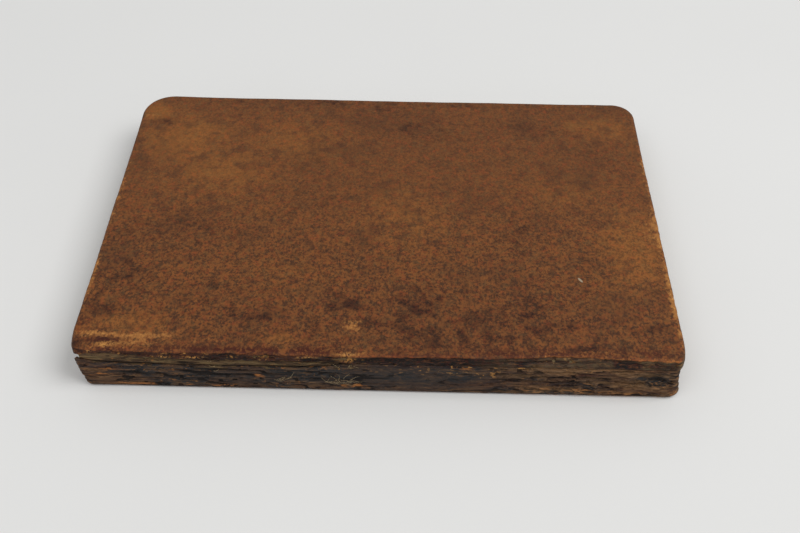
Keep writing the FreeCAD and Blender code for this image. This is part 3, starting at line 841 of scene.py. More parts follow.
def paint_cover(piece, name):
    """Where the leather is smudged, rubbed, reddened, blackened or bare, with a painted highlight along the
    near arris and painted shade on the sides, the rim and in the cracks.
    """
    cover = SIDES[name]
    low, high = box_mm(name + "_cover_leather")
    points = points_of(piece)
    x, y, z = points.T
    edge, thick = low[1], high[2] - low[2]
    height = (high[2] - z) if cover.flip else (z - low[2])

    def on_face(*spots):
        return marks(points, (0, 1), spots)

    near = smooth(-y, -edge - 2.6, -edge - 1.4)
    side = near * (1 - smooth(height, thick - 0.75, thick - 0.3))
    ends = np.maximum(smooth(-x, -low[0] - 1.0, -low[0] - 0.2), smooth(x, high[0] - 1.0, high[0] - 0.2))
    around = np.maximum(ends, smooth(y, high[1] - 1.0, high[1] - 0.2))
    wall = around * (1 - smooth(height, thick - 1.2, thick - 0.3))
    rim = around * smooth(height, thick - 1.3, thick - 0.4)
    broken, fine = noise(points, (4, 4, 2), 61), noise(points, (1.3, 1.2, 0.8), 67)
    inward = y - edge - along(x, *cover.worn_back)
    arris = np.exp(-((height - (thick - 0.3)) / 0.35) ** 2) * (1 - smooth(inward, 0.3, 1.1))
    ridge = arris * (0.75 + 0.5 * on_face((51, edge + 1.6, 6, 3, 1.0), (84, edge + 1, 4, 3, 1.0)))
    ridge = ridge * smooth(x, 40, 48) * smooth(fine, 0.1, 0.5)
    torn_half = smooth(-x, 4, 12)
    flakes = smooth(noise(points, (1.1, 0.9, 0.7), 71), 0.68, 0.78) * smooth(broken, 0.35, 0.6)
    flake = np.maximum.reduce([
        flakes * np.maximum(0.9 * smooth(-x, 62, 72) * near, 0.8 * side * torn_half),
        flakes * on_face((-78, edge + 1.6, 8, 1.8, 1.0), (-9, edge + 0.8, 5, 1.8, 1.0),
                         (50, edge + 1.0, 8, 1.4, 0.7)),
        on_face((-78, edge + 2.6, 2.0, 0.6, 1.0), (-9, edge + 0.7, 2.4, 0.5, 0.9)),
        side * marks(points, (0, 2), TORN_FLAKES)])
    # Bare layers on the near side, kept off the cracks, which stay near-black as painted shadow
    strata = smooth(x, 20, 48) * side * smooth(broken, 0.25, 0.55) * (1 - marks(points, (0, 2), CRACK_SHADOWS))
    stain = on_face(*cover.stains) * smooth(noise(points, (3, 1.4, 2), 73), 0.2, 0.55)
    patchy = 0.55 + 0.55 * smooth(noise(points, (4, 2.2, 2), 79), 0.2, 0.7)
    bare_end = smooth(x, high[0] - 3.4, high[0] - 2.0) * smooth(-y, -edge - 9, -edge - 2)
    paint(piece,
          smudge=on_face(*cover.smudges) * (1 - side),
          glow=on_face(*cover.glow) * (1 - side),
          calm=smooth(y, -50, 36),
          stain=np.maximum(stain, torn_half * side * 0.7),
          wear=np.maximum.reduce([on_face(*cover.wear) * (1 - side) * patchy,
                                  0.55 * wall * smooth(broken, 0.45, 0.8), ridge]),
          # red: a line along the rounded near edge, partly red rot and partly a painted highlight
          red=arris * (0.6 * smooth(x, -12, 0) + 0.2 * smooth(-x, 0, 12)) * smooth(broken, 0.25, 0.65),
          # dark: the near side, the other sides and the rim, partly darker leather and partly painted shade
          dark=np.maximum.reduce([side * (1 - 0.45 * torn_half * smooth(broken, 0.3, 0.6)), 0.5 * wall,
                                  0.35 * rim * smooth(broken, 0.3, 0.7)]),
          flake=flake,
          olive=np.maximum(0.85 * bare_end * (1 - smooth(height, thick - 0.5, thick - 0.1)), 0.5 * strata))


class BOOK_OT_cover_leather(bpy.types.Operator):
    """Cover both boards in sprinkled calf, torn at the split joint"""
    bl_idname = "book.cover_leather"
    bl_label = "Cover leather"

    def execute(self, context):
        leather = context.scene.book_leather
        material = calf_material("sprinkled_calf", leather)
        for name in SIDES:
            piece = build_cover(name, leather, material)
            paint_cover(piece, name)
            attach(piece, name + "_cover")
            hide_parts(name + "_cover_leather")
        return {"FINISHED"}


# Boards

def build_board(name, leather, material):
    """A pasteboard with softened edges, worn at the corners beside the spine like its leather."""
    side, cover_node = SIDES[name], name + "_cover_leather"
    low, high = box_mm(name + "_board")
    radii = [(getattr(leather, corner) - leather.thickness) / MM for corner in CORNERS]
    height = high[2] - low[2]
    profile = [(0.4, 0.0), (0.12, 0.12), (0.0, 0.4)] + [(0.0, height * share) for share in (0.35, 0.5, 0.65)]
    profile += [(0.0, height - 0.4), (0.12, height - 0.12), (0.4, height)]
    points, faces = [], []
    for number, (inset, rise) in enumerate(profile):
        places, normals = outline(low, high, radii, BOARD_COUNTS, inset, inset)
        ring = ring_points(places, low[2] + rise)
        rough = fractal(ring, (5, 3, 0.5), 311, 3) * 0.15 - 0.1
        ring[:, :2] += normals * (rough * near_weight(ring[:, 1], low[1]))[:, None]
        points.append(ring)
        if number:
            faces += loop_quads((number - 1) * len(ring), number * len(ring), len(ring))
    count = len(points[0])
    faces += [list(range(count)), list(range((len(profile) - 1) * count, len(profile) * count))]
    points = np.concatenate(points)
    upright = points.copy()
    if side.flip:
        cover_low, cover_high = box_mm(cover_node)
        upright[:, 2] = cover_low[2] + cover_high[2] - upright[:, 2]
    points[:, 1] += wear_back(upright, cover_node, side.worn_back)
    ease_corners(points, cover_node, getattr(leather, side.corner_wear))
    return new_piece(name + "_pasteboard", points, faces, material, shade_smooth=False)


class BOOK_OT_boards(bpy.types.Operator):
    """Shape the two pasteboards inside the covers"""
    bl_idname = "book.boards"
    bl_label = "Boards"

    def execute(self, context):
        leather, paper = context.scene.book_leather, context.scene.book_paper
        material = layer_material("pasteboard", (paper.board_colour, leather.flesh_dark, leather.flesh_pale,
                                                 leather.red_rot_and_highlight, leather.dirt_and_shade_black))
        for name in SIDES:
            piece = build_board(name, leather, material)
            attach(piece, name + "_cover")
            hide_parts(name + "_board")
        return {"FINISHED"}


# Spine

# Rows of the spine's skin below the fold at the lower joint, and half the fold's height
ROWS_BELOW = 17
CREASE = 0.05
SPINE_COLUMNS, SPINE_ROWS = 860, 66
# Where the skin starts on the lower cover, and its thickness there
SPINE_FOOT = 0.75
FOOT_THICK = 0.62
# Top of the spine leather, torn at the head half
SPINE_TOP = (
    (-88, 11.9), (-85, 11.6), (-83, 10.7), (-72, 10.2), (-60, 9.9), (-40, 9.9), (-22, 10.2), (-14, 10.6),
    (-10, 12.2), (-6, 12.5),
)
# Spots on the spine: place along, height, half sizes, strength
SLOTS = (
    (70, 11.4, 9, 0.35, 1), (79, 9.6, 3.5, 0.7, 1), (55, 8.6, 10, 0.3, 0.8), (-71.5, 6.5, 3.2, 0.55, 0.9),
)
RUBBED_LINES = (
    (-62, 1.5, 24, 0.45, 1), (-24, 1.6, 22, 0.4, 0.8), (-6, 2.6, 7, 0.6, 1), (-80, 5.6, 5, 0.4, 0.6),
    (-3, 10.4, 12, 0.3, 0.8), (25, 11.2, 3, 0.7, 0.9), (3, 2.2, 9, 0.4, 0.8), (-35, 6, 1.6, 1, 0.9),
    (72, 2, 12, 0.8, 0.8), (84, 2.4, 4, 1, 0.8), (48, 3.2, 9, 0.5, 0.6), (60, 5.6, 4, 0.4, 0.4),
    (-58, 8, 5, 0.3, 0.7), (-46, 7.2, 5, 0.3, 0.5), (20, 8, 6, 0.3, 0.5), (-14, 9.8, 10, 0.35, 0.7),
    (66, 12, 16, 0.3, 0.6), (-77, 7.6, 8, 0.45, 0.75), (-84, 4.5, 2.5, 0.5, 0.6), (58, 2.6, 5, 0.9, 0.9),
    (40, 2, 7, 0.6, 0.7), (81, 5.2, 3, 0.6, 0.7), (52, 10.6, 8, 0.3, 0.6),
)
SPINE_REDS = (
    (40, 4.6, 14, 1.6, 0.5), (80, 12, 7, 0.6, 0.8), (58, 9.4, 6, 0.5, 0.6), (70, 6.6, 5, 0.7, 0.6),
    (-80, 9, 7, 1.2, 0.4), (76, 3.6, 9, 1.6, 0.5), (12, 11.8, 12, 0.4, 0.6),
)
# Blue-grey patches: the blackest leather with a painted blue-grey sheen
SPINE_BLUES = (
    (-40, 6.4, 22, 4, 0.7), (4, 7, 24, 6, 0.95), (30, 6, 14, 4, 0.6), (-71.5, 6.5, 4, 0.8, 0.9),
    (80, 9.6, 6, 1.4, 0.7), (60, 6, 9, 2, 0.35),
)
SPINE_SPECKS = (
    (1, 11.7, 3, 0.5, 0.9), (11, 10.6, 3, 0.9, 0.9), (19, 11.6, 3, 0.5, 1), (26, 11.5, 3.4, 0.8, 1),
    (31, 9, 4, 3, 0.7), (-14, 10.2, 8, 0.6, 0.5), (44, 12, 8, 0.4, 0.6), (-62, 9, 12, 0.8, 0.35),
    (28, 12, 26, 0.45, 1.1), (16, 9.4, 16, 1.4, 0.45), (56, 11.6, 10, 0.6, 0.6),
)


def spine_path(x_low, x_high, face, radius, reach, count):
    """Stations from one cap around the near face to the other cap, with outward directions."""
    arc = radius * math.pi / 2
    straight = x_high - x_low - 2 * radius
    total = 2 * (reach + arc) + straight
    places, normals = [], []
    ends = np.concatenate([np.linspace(0, reach, 7)[:-1], reach + np.linspace(0, arc, 7)[:-1]])
    run = np.concatenate([ends, np.linspace(reach + arc, total - reach - arc, count), total - ends[::-1]])
    for length in run:
        back = min(length, total - length)
        if back < reach:
            place, normal = (0.0, radius + reach - back), (-1.0, 0.0)
        elif back < reach + arc:
            turn = (back - reach) / radius
            normal = (-math.cos(turn), -math.sin(turn))
            place = (radius + radius * normal[0], radius + radius * normal[1])
        else:
            place, normal = (radius + back - reach - arc, 0.0), (0.0, -1.0)
        end, way = (x_low, 1) if length <= total / 2 else (x_high, -1)
        places.append((end + way * place[0], face + place[1]))
        normals.append((way * normal[0], normal[1]))
    return np.array(places), np.array(normals)


def spine_relief(points):
    """Striations, lengthwise splits and, towards the tail, coarse wrinkles."""
    x, z = points[:, 0], points[:, 2]
    layers = fractal(points, (9, 4, 0.8), 101, 4) * 0.42
    threads = fractal(points, (3.5, 3, 0.4), 103, 2) * 0.12
    splits = -0.55 * smooth(1 - np.abs(noise(points, (13, 5, 1.5), 107) * 2 - 1), 0.88, 0.98)
    leaning = points + np.outer(x, (0, 0, 0.045))
    wrinkles = (1 - np.abs(fractal(leaning, (5, 4, 0.8), 113, 3))) ** 3
    tail = smooth(x, 26, 52)
    pits = -0.35 * smooth(noise(points, (2.0, 2, 0.8), 127), 0.70, 0.80)
    slot = -0.5 * marks(points, (0, 2), SLOTS)
    bulge = 0.25 * marks(points, (0, 2), ((-10, 8, 3.5, 3.5, 1.0),)) * noise(points, (1.2, 1, 0.8), 131)
    rough = 1 - 0.55 * smooth(x, -8, 2) * smooth(-x, -42, -28)
    plain = (layers + threads + splits * (1 - 0.5 * tail) + pits) * rough
    return plain + tail * (wrinkles - 0.5) * 0.9 + slot + bulge


def ribbon(name, outer, inner, rows, material, folds=()):
    """A closed ribbon from a fine outer grid and a few matching rows of its inner side, folds among them."""
    width = len(outer[0])
    kept = sorted({0, rows // 3, 2 * rows // 3, rows - 1, *folds})
    grid = width * rows
    faces = grid_quads(0, width, rows)
    faces += [tuple(grid + index for index in reversed(face)) for face in grid_quads(0, width, len(kept))]
    for step, (first, last) in enumerate(zip(kept, kept[1:])):
        for column in (0, width - 1):
            side = [row * width + column for row in range(first, last + 1)]
            faces.append((*side, grid + (step + 1) * width + column, grid + step * width + column))
    for row, back in ((0, 0), (rows - 1, len(kept) - 1)):
        front, rear = row * width, grid + back * width
        faces += [(front + i, front + i + 1, rear + i + 1, rear + i) for i in range(width - 1)]
    points = np.concatenate(outer + [inner[row] for row in kept])
    return new_piece(name, points, faces, material)


def build_spine(leather, material):
    """The spine's leather, from the edge of the lower cover round the lower joint to its torn top."""
    low, high = box_mm("spine_leather")
    cover_low, cover_high = box_mm("lower_cover_leather")
    thick, head, tail = in_mm(leather, "spine_thickness", "spine_head_worn", "spine_tail_worn")
    below = spine_path(cover_low[0] + 0.9, cover_high[0] - 0.9, cover_low[1], 3.2, 0.25, SPINE_COLUMNS)
    above = spine_path(low[0] + head, high[0] - tail, low[1], 1.7, 0.7, SPINE_COLUMNS)
    x = above[0][:, 0]
    ragged = fractal(np.column_stack([above[0], np.zeros(len(x))]), 2.8, 137, 4)
    top = np.minimum(along(x, *SPINE_TOP) + ragged * (0.15 + 0.6 * smooth(-x, 8, 12)) - 0.08, high[2])
    top -= 1.8 * smooth(above[0][:, 1], low[1] + 0.3, low[1] + 1.6) * (x < 0)
    heights = [np.full(len(x), z) for z in np.linspace(SPINE_FOOT, low[2] - CREASE, ROWS_BELOW)]
    heights += [low[2] + CREASE + share * (top - low[2] - CREASE)
                for share in np.linspace(0, 1, SPINE_ROWS - ROWS_BELOW)]
    outer, inner = [], []
    for share, z in zip(np.linspace(0, 1, SPINE_ROWS), heights):
        lift = smooth(z, cover_high[2] + 0.3, low[2] + 0.9)[:, None]
        places, normals = (first * (1 - lift) + second * lift for first, second in zip(below, above))
        places[:, 0] += 0.7 * (1 - smooth(z, 4, 11.5)) * lift[:, 0] * smooth(-places[:, 0], 79, 86)
        wall = FOOT_THICK + (thick - FOOT_THICK) * lift
        plain = np.column_stack([places, z])
        out = np.column_stack([normals, np.zeros(len(z))])
        swept = smooth(z, 7.9, 8.7)[:, None]
        most = (0.32 + 0.2 * lift) * (1 - swept) + HINGE_PLAY * swept
        relief = np.clip(spine_relief(plain)[:, None], 0.15 - wall, most)
        relief = relief * smooth(np.full((len(z), 1), share), -0.02, 0.08)
        outer.append(plain + out * relief)
        inner.append(plain - out * wall)
    return ribbon("spine_calf", outer, inner, SPINE_ROWS, material, (ROWS_BELOW - 1, ROWS_BELOW))


def paint_spine(piece):
    points = points_of(piece)
    x, y, z = points.T
    broken = noise(points, (9, 6, 1.2), 139)
    lines, red, blue, speck = (marks(points, (0, 2), spots)
                               for spots in (RUBBED_LINES, SPINE_REDS, SPINE_BLUES, SPINE_SPECKS))
    top = along(x, *SPINE_TOP)
    torn_lip = smooth(-x, 6, 12) * smooth(z, top - 0.7, top)
    paint(piece,
          # ridge follows the relief, for painted highlights on its raised parts and painted shade in its
          # hollows
          ridge=0.5 + spine_relief(points) * 0.9,
          wear=np.maximum(lines * smooth(broken, 0.25, 0.55), 0.35 * torn_lip * broken),
          red=red,
          blue=blue,
          speck=speck,
          olive=0.55 * smooth(x, 24, 50) * smooth(broken, 0.4, 0.7))


class BOOK_OT_spine_leather(bpy.types.Operator):
    """Lay the dried, split leather over the spine and round the lower joint"""
    bl_idname = "book.spine_leather"
    bl_label = "Spine leather"

    def execute(self, context):
        leather = context.scene.book_leather
        piece = build_spine(leather, spine_material("blackened_calf", leather))
        paint_spine(piece)
        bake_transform(piece)
        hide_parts("spine_leather")
        return {"FINISHED"}


# Layers and fibres in the split joint

STRIP_COLUMNS, STRIP_ROWS = 520, 20
FIBRE_STEPS = 7
# Tufts of fibres: place along, how far in from the face, height, spread, count, length and lean
TUFTS = (
    (-10, 0, 5, 1.6, 9, 4, 0.9), (-14, 0, 4.2, 1.4, 6, 3.5, 0.2), (-8, 0.3, 10.4, 1.6, 7, 2.4, 1.8),
    (-29, 0, 4.6, 1.4, 6, 5, 0.9), (-6, 0, 4.4, 1, 4, 3.5, 2.6), (-46, 0.3, 9.8, 6, 3, 1.6, 0.3),
)


def bare_strip(name, material, x_range, z_low, z_high, face, back, crack, seed, worn=False):
    """A rough strip of a bare layer between two heights, drawn in along a crack line and darkened there with
    painted shadow.
    """
    x = np.linspace(*x_range, STRIP_COLUMNS)
    roof = z_high + fractal(line_points(x), 4.0, seed, 3) * 0.05
    front, rear = [], []
    for share in np.linspace(0, 1, STRIP_ROWS):
        plain = np.column_stack([x, np.full(STRIP_COLUMNS, face), z_low + share * (roof - z_low)])
        relief = fractal(plain, (8, 3, 0.5), seed + 5, 4) * 0.25 - 0.4 * crack(plain)
        rear.append(plain * (1, 0, 1) + (0, back, 0))
        plain[:, 1] = np.minimum(face - relief, back - 0.1)
        if worn:
            worn_in = wear_back(plain, "upper_cover_leather", UPPER_WORN_BACK)
            plain[:, 1] += worn_in
            rear[-1][:, 1] += worn_in
        front.append(plain)
    piece = ribbon(name, front, rear, STRIP_ROWS, material)
    # dark: painted shadow along the crack line
    paint(piece, dark=crack(points_of(piece)))
    return piece


def below_torn_cover(points):
    """1 in the shadow line just under the torn leather of the upper cover."""
    x, z = points[:, 0], points[:, 2]
    broken = smooth(noise(points * (1, 0, 0), (5, 1, 1), 241), 0.15, 0.4)
    return np.exp(-((z - torn_upper_edge(x) + 0.15) / 0.3) ** 2) * broken


def above_torn_spine(points):
    """1 in the crack just over the torn top of the spine, where painted shadow darkens the bare strip."""
    x, z = points[:, 0], points[:, 2]
    broken = smooth(noise(points * (1, 0, 0), (9, 1, 1), 251), 0.3, 0.6)
    return np.exp(-((z - along(x, *SPINE_TOP) - 0.2) / 0.35) ** 2) * broken


def fibre_points(rng, start, length, lean):
    """A thin fibre that curls as it runs, kept just off the surface."""
    place, heading = np.array(start, float), lean
    points = [place.copy()]
    for step in range(FIBRE_STEPS):
        heading += rng.uniform(-0.55, 0.55)
        place = place + np.array([math.cos(heading), 0, math.sin(heading) * 0.7]) * length / FIBRE_STEPS
        lift = 0.3 * math.sin(math.pi * (step + 1) / FIBRE_STEPS) + 0.1
        points.append(np.array([place[0], start[1] - lift, place[2]]))
    return points


def build_fibres(name, material, face, seed):
    """Frayed fibres as one mesh of fine tubes, standing on a face at this y."""
    rng = random.Random(seed)
    curve = bpy.data.curves.new(name, "CURVE")
    curve.dimensions = "3D"
    curve.bevel_depth = 0.04 * MM
    curve.bevel_resolution = 1
    curve.use_fill_caps = True
    for x, inward, z, spread, count, length, lean in TUFTS:
        for _ in range(count):
            start = (x + rng.gauss(0, spread), face + inward, z + rng.gauss(0, spread * 0.3))
            points = fibre_points(rng, start, length * rng.uniform(0.5, 1.3), lean + rng.gauss(0, 0.5))
            spline = curve.splines.new("NURBS")
            spline.points.add(len(points) - 1)
            for point, place in zip(spline.points, points):
                point.co = (*(place * MM), 1)
                point.radius = rng.uniform(0.6, 1.3)
            spline.order_u = 3
            spline.use_endpoint_u = True
            spline.resolution_u = 3
    holder = bpy.data.objects.new(name + "_curve", curve)
    bpy.context.scene.collection.objects.link(holder)
    mesh = bpy.data.meshes.new_from_object(holder.evaluated_get(bpy.context.evaluated_depsgraph_get()))
    bpy.data.objects.remove(holder)
    bpy.data.curves.remove(curve)
    mesh.name = name
    mesh.materials.clear()
    mesh.materials.append(material)
    piece = bpy.data.objects.new(name, mesh)
    bpy.context.scene.collection.objects.link(piece)
    return piece


class Growth:
    """A geometry node tree that grows a piece from its named inputs."""

    KINDS = {float: "NodeSocketFloat", int: "NodeSocketInt", tuple: "NodeSocketVector"}

    def __init__(self, name, **defaults):
        self.tree = bpy.data.node_groups.new(name, "GeometryNodeTree")
        sockets = self.tree.interface
        sockets.new_socket(name="Geometry", in_out="OUTPUT", socket_type="NodeSocketGeometry")
        for label, default in defaults.items():
            kind = self.KINDS[type(default)]
            sockets.new_socket(name=label, in_out="INPUT", socket_type=kind).default_value = default
        self.given = self.tree.nodes.new("NodeGroupInput").outputs

    def add(self, kind, inputs=(), output=0, **settings):
        """An output of a new node, whose inputs go by name or number: values, sockets or lists of sockets."""
        node = self.tree.nodes.new(kind)
        for name, value in settings.items():
            setattr(node, name, value)
        for key, value in dict(inputs).items():
            if isinstance(value, bpy.types.NodeSocket):
                self.tree.links.new(value, node.inputs[key])
            elif isinstance(value, list):
                for source in value:
                    self.tree.links.new(source, node.inputs[key])
            else:
                node.inputs[key].default_value = value
        return node.outputs[output]

    def math(self, operation, first, second):
        return self.add("ShaderNodeMath", {0: first, 1: second}, operation=operation)

    def finish(self, geometry, material):
        """Ends the tree with real geometry in one material."""
        real = self.add("GeometryNodeRealizeInstances", {"Geometry": geometry})
        painted = self.add("GeometryNodeSetMaterial", {"Geometry": real, "Material": material})
        self.tree.links.new(painted, self.tree.nodes.new("NodeGroupOutput").inputs[0])
        return self.tree


def grow(name, tree, material, **values):
    """Runs a tree on an empty mesh, with its inputs set by name, and keeps the result as a plain mesh."""
    piece = bpy.data.objects.new(name, bpy.data.meshes.new(name))
    bpy.context.scene.collection.objects.link(piece)
    modifier = piece.modifiers.new("grow", "NODES")
    modifier.node_group = tree
    for item in tree.interface.items_tree:
        if item.item_type == "SOCKET" and item.in_out == "INPUT" and item.name in values:
            modifier[item.identifier] = values[item.name]
    mesh = bpy.data.meshes.new_from_object(piece.evaluated_get(bpy.context.evaluated_depsgraph_get()))
    piece.modifiers.remove(modifier)
    piece.data = mesh
    mesh.name = name
    if not mesh.materials:
        mesh.materials.append(material)
    return piece


class BOOK_OT_split_joint(bpy.types.Operator):
    """Show the bare layers and frayed fibres in the split upper joint"""
    bl_idname = "book.split_joint"
    bl_label = "Split joint"

    def execute(self, context):
        leather, paper = context.scene.book_leather, context.scene.book_paper
        bare = layer_material("bare_layers", (leather.flesh, leather.flesh_dark, leather.flesh_pale,
                                              leather.fleck, leather.dirt_and_shade_black))
        upper_low, upper_high = box_mm("upper_cover_leather")
        spine_low, spine_high = box_mm("spine_leather")
        board_face = box_mm("upper_board")[0][1]
        upper = bare_strip("bare_upper_layer", bare, (upper_low[0] + 3.0, -9.0), upper_low[2] - 0.15,
                           upper_high[2] - 1.4, board_face - 0.25, board_face + 0.2, below_torn_cover, 211,
                           worn=True)
        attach(upper, "upper_cover")
        lower = bare_strip("bare_spine_layer", bare, (spine_low[0] + 3.6, -7.0), spine_high[2] - 3.6,
                           spine_high[2] - 0.03, spine_low[1] + 0.28, spine_low[1] + 0.78, above_torn_spine,
                           223)
        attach(lower, "book_body")
        hair = thread_material("frayed_fibre", paper.thread_colour, paper.thread_dark)
        fibres = build_fibres("frayed_fibres", hair, spine_low[1] - 0.15, 5)
        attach(fibres, "book_body")
        return {"FINISHED"}


# Leaves and endbands

# Corners of the leaves at the spine, in mm
SHARP_CORNER = 0.2
# Share of a leaf's pitch that its sheet fills, and of a thread's pitch that is its radius
SHEET_SHARE = 0.82
THREAD_SHARE = 0.48


def leaf_tree(material):
    """A stack of leaves, each a thin plate with the round corners of the text block, shifted a little."""
    tree = Growth("leaf_stack", Length=0.1, Width=0.1, Height=0.01, Corner=0.005, Leaves=60, Drift=0.0002,
                  Middle=(0.0, 0.0, 0.0))
    add, given = tree.add, tree.given
    sheet = add("GeometryNodeCurvePrimitiveQuadrilateral",
                {"Width": given["Length"], "Height": given["Width"]})
    across = add("ShaderNodeSeparateXYZ", {"Vector": add("GeometryNodeInputPosition")}, "Y")
    far = add("FunctionNodeCompare", {"A": across, "B": 0.0}, operation="GREATER_THAN")
    radius = add("GeometryNodeSwitch", {"Switch": far, "False": SHARP_CORNER * MM, "True": given["Corner"]},
                 input_type="FLOAT")
    rounded = add("GeometryNodeFilletCurve",
                  {"Curve": sheet, "Radius": radius, "Count": 8, "Limit Radius": True}, mode="POLY")
    filled = add("GeometryNodeFillCurve", {"Curve": rounded}, mode="NGONS")
    pitch = tree.math("DIVIDE", given["Height"], given["Leaves"])
    solid = add("GeometryNodeExtrudeMesh", {"Mesh": filled, "Individual": False,
                                            "Offset Scale": tree.math("MULTIPLY", pitch, SHEET_SHARE)})
    base = add("GeometryNodeFlipFaces", {"Mesh": filled})
    closed = add("GeometryNodeJoinGeometry", {0: [base, solid]})
    merged = add("GeometryNodeMergeByDistance", {"Geometry": closed, "Distance": 1e-6})
    step = add("ShaderNodeCombineXYZ", {"Z": pitch})
    line = add("GeometryNodeMeshLine", {"Count": given["Leaves"], "Start Location": given["Middle"],
                                        "Offset": step}, mode="OFFSET")
    back = tree.math("MULTIPLY", given["Drift"], -1.0)
    low = add("ShaderNodeCombineXYZ", {"X": back, "Y": back})
    high = add("ShaderNodeCombineXYZ", {"X": given["Drift"]})
    nudge = add("FunctionNodeRandomValue", {0: low, 1: high, "Seed": 7}, data_type="FLOAT_VECTOR")
    moved = add("GeometryNodeSetPosition", {"Geometry": line, "Offset": nudge})
    return tree.finish(add("GeometryNodeInstanceOnPoints", {"Points": moved, "Instance": merged}), material)


def thread_tree(material):
    """Turns of thread side by side around a straight core that stands upright."""
    tree = Growth("thread_turns", Start=(0.0, 0.0, 0.0), Height=0.01, Radius=0.001, Turns=20)
    add, given = tree.add, tree.given
    pitch = tree.math("DIVIDE", given["Height"], given["Turns"])
    thread = tree.math("MULTIPLY", pitch, THREAD_SHARE)
    middle = tree.math("SUBTRACT", given["Radius"], thread)
    circle, profile = (
        add("GeometryNodeCurvePrimitiveCircle", {"Resolution": sides, "Radius": radius}, mode="RADIUS")
        for sides, radius in ((20, middle), (6, thread)))
    turn = add("GeometryNodeCurveToMesh", {"Curve": circle, "Profile Curve": profile})
    step = add("ShaderNodeCombineXYZ", {"Z": pitch})
    half = add("ShaderNodeVectorMath", {0: step, 1: (0.5, 0.5, 0.5)}, operation="MULTIPLY")
    start = add("ShaderNodeVectorMath", {0: given["Start"], 1: half}, operation="ADD")
    line = add("GeometryNodeMeshLine", {"Count": given["Turns"], "Start Location": start, "Offset": step},
               mode="OFFSET")
    tilt = add("FunctionNodeRandomValue", {0: (-0.05, -0.05, 0.0), 1: (0.05, 0.05, 6.0), "Seed": 3},
               data_type="FLOAT_VECTOR")
    turns = add("GeometryNodeInstanceOnPoints", {"Points": line, "Instance": turn, "Rotation": tilt})
    return tree.finish(turns, material)


class BOOK_OT_leaves(bpy.types.Operator):
    """Stack the leaves of the text block"""
    bl_idname = "book.leaves"
    bl_label = "Leaves"

    def execute(self, context):
        paper = context.scene.book_paper
        low, high = (np.array(corner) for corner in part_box("text_block"))
        drift = paper.leaf_drift
        low[0], high[0] = low[0] + paper.leaf_head_trim, high[0] - paper.leaf_tail_trim
        size = high - low
        middle = (low + high) / 2
        material = paper_material("rag_paper", paper.leaf_colour, paper.foxing,
                                  (middle[:2] / MM, size[:2] / 2 / MM))
        leaves = grow("leaves", leaf_tree(material), material, Length=size[0] - 2 * drift,
                      Width=size[1] - drift, Height=size[2], Corner=paper.leaf_corner,
                      Leaves=paper.leaf_count, Drift=drift,
                      Middle=(middle[0], middle[1] + drift / 2, low[2]))
        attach(leaves, "book_body")
        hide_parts("text_block")
        return {"FINISHED"}


class BOOK_OT_endbands(bpy.types.Operator):
    """Wind the thread of both endbands"""
    bl_idname = "book.endbands"
    bl_label = "Endbands"

    def execute(self, context):
        leather, paper = context.scene.book_leather, context.scene.book_paper
        material = thread_material("faded_thread", paper.thread_colour, paper.thread_dark)
        tree = thread_tree(material)
        spine_low, spine_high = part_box("spine_leather")
        inward = leather.spine_thickness + paper.endband_radius + paper.endband_gap
        places = {"headband": spine_low[0] + leather.spine_head_worn + inward,
                  "tailband": spine_high[0] - leather.spine_tail_worn - inward}
        for node, place in places.items():
            low, high = (np.array(corner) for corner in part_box(node))
            middle = (low + high) / 2
            band = grow(node + "_thread", tree, material, Start=(place, middle[1], low[2]),
                        Height=high[2] - low[2], Radius=paper.endband_radius, Turns=paper.thread_turns)
            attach(band, "book_body")
            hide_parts(node)
        return {"FINISHED"}


class BOOK_OT_hidden_papers(bpy.types.Operator):
    """Finish the pastedowns, lining and cords, which keep their solid shapes"""
    bl_idname = "book.hidden_papers"
    bl_label = "Hidden papers"

    def execute(self, context):
        paper, leather = context.scene.book_paper, context.scene.book_leather
        sheet = paper_material("endpaper", paper.leaf_colour, paper.foxing)
        lining = layer_material("glued_lining", (leather.flesh, leather.flesh_dark, paper.foxing,
                                                 leather.red_rot_and_highlight, leather.dirt_and_shade_black))
        cord = thread_material("hemp", paper.thread_colour, paper.thread_dark)
        finishes = {"upper_pastedown": sheet, "lower_pastedown": sheet, "spine_lining": lining,
                    "sewing_cord_head": cord, "sewing_cord_middle": cord, "sewing_cord_tail": cord}
        for node, material in finishes.items():
            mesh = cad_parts[node].data
            mesh.materials.clear()
            mesh.materials.append(material)
        return {"FINISHED"}


# Stage

FLOOR_HALF = 1.6
SENSOR_WIDTH = 36.0
CLIP_START = 0.01


def soft_lamp(name, place, size, power, colour):
    lamp = bpy.data.lights.new(name, "AREA")
    lamp.shape = "SQUARE"
    lamp.size = size
    lamp.energy = power
    lamp.color = colour
    holder = bpy.data.objects.new(name, lamp)
    holder.location = place
    holder.rotation_euler = (-Matrix.Identity(3).col[2]).rotation_difference(-holder.location).to_euler()
    bpy.context.scene.collection.objects.link(holder)


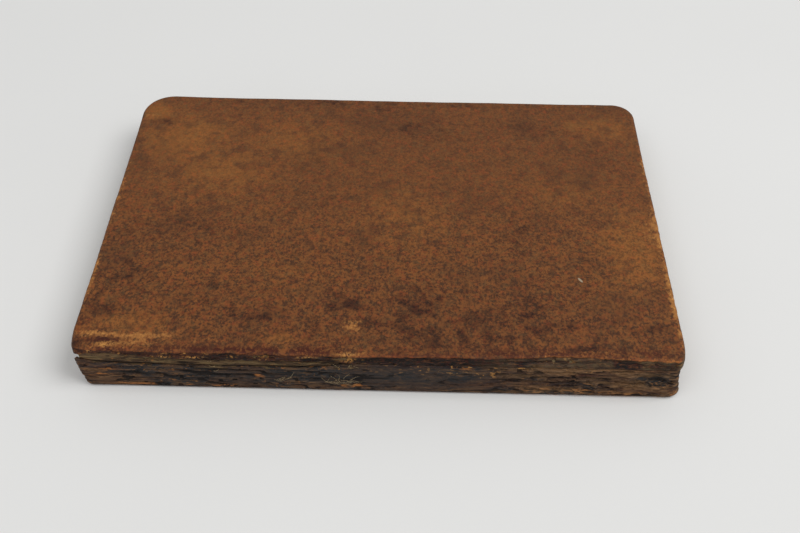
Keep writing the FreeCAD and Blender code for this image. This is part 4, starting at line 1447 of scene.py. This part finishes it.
class BOOK_OT_stage(bpy.types.Operator):
    """Set the floor, the light and the camera"""
    bl_idname = "book.stage"
    bl_label = "Stage"

    def execute(self, context):
        stage = context.scene.book_stage
        mesh = bpy.data.meshes.new("floor")
        corners = [(x * FLOOR_HALF, y * FLOOR_HALF, 0) for x, y in ((-1, -1), (1, -1), (1, 1), (-1, 1))]
        mesh.from_pydata(corners, [], [(0, 1, 2, 3)])
        mesh.materials.append(floor_material("pale_floor", stage.floor_colour))
        floor = bpy.data.objects.new("floor", mesh)
        context.scene.collection.objects.link(floor)
        floor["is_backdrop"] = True
        world = bpy.data.worlds.new("even_light")
        world.use_nodes = True
        light = world.node_tree.nodes["Background"].inputs
        light["Color"].default_value = (1, 1, 1, 1)
        light["Strength"].default_value = stage.sky
        context.scene.world = world
        soft_lamp("key", (1.25, -0.3, 1.8), 1.3, stage.key, (1.0, 0.995, 0.98))
        soft_lamp("fill", (-0.7, -0.9, 1.8), 1.4, stage.key * stage.fill_share, (0.98, 0.99, 1.0))
        self.place_camera(context, stage)
        context.scene.view_settings.view_transform = "Standard"
        return {"FINISHED"}

    def place_camera(self, context, stage):
        lens = bpy.data.cameras.new("camera")
        lens.sensor_width = SENSOR_WIDTH
        lens.lens = stage.lens
        lens.clip_start = CLIP_START
        camera = bpy.data.objects.new("camera", lens)
        turn = Matrix.Rotation(stage.yaw, 4, "Z") @ Matrix.Rotation(math.pi / 2 - stage.pitch, 4, "X")
        roll = Matrix.Rotation(stage.roll, 4, "Z")
        camera.matrix_world = Matrix.Translation(stage.camera_place) @ turn @ roll
        context.scene.collection.objects.link(camera)
        context.scene.camera = camera


OPERATORS = (BOOK_OT_cover_leather, BOOK_OT_boards, BOOK_OT_spine_leather, BOOK_OT_split_joint,
             BOOK_OT_leaves, BOOK_OT_endbands, BOOK_OT_hidden_papers, BOOK_OT_stage)


class BOOK_PT_panel(bpy.types.Panel):
    """The steps that dress the book"""
    bl_label = "Antique leather book"
    bl_idname = "BOOK_PT_panel"
    bl_space_type = "VIEW_3D"
    bl_region_type = "UI"
    bl_category = "Book"

    def draw(self, context):
        for operator in OPERATORS:
            self.layout.operator(operator.bl_idname)


SETTINGS = {"book_leather": BookLeatherSettings, "book_paper": BookPaperSettings,
            "book_stage": BookStageSettings}


def register():
    for kind in (*SETTINGS.values(), *OPERATORS, BOOK_PT_panel):
        bpy.utils.register_class(kind)
    for name, group in SETTINGS.items():
        setattr(bpy.types.Scene, name, bpy.props.PointerProperty(type=group))


def unregister():
    for name in SETTINGS:
        delattr(bpy.types.Scene, name)
    for kind in reversed((*SETTINGS.values(), *OPERATORS, BOOK_PT_panel)):
        bpy.utils.unregister_class(kind)


def corners(bounds):
    return [[float(value) for value in corner] for corner in bounds]


def main():
    register()
    bpy.ops.book.cover_leather()
    bpy.ops.book.boards()
    bpy.ops.book.spine_leather()
    bpy.ops.book.split_joint()
    bpy.ops.book.leaves()
    bpy.ops.book.endbands()
    bpy.ops.book.hidden_papers()
    bpy.ops.book.stage()
    {"cad": corners(CAD_BOUNDS), "visual": corners(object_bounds())}


if __name__ == "__main__":
    main()
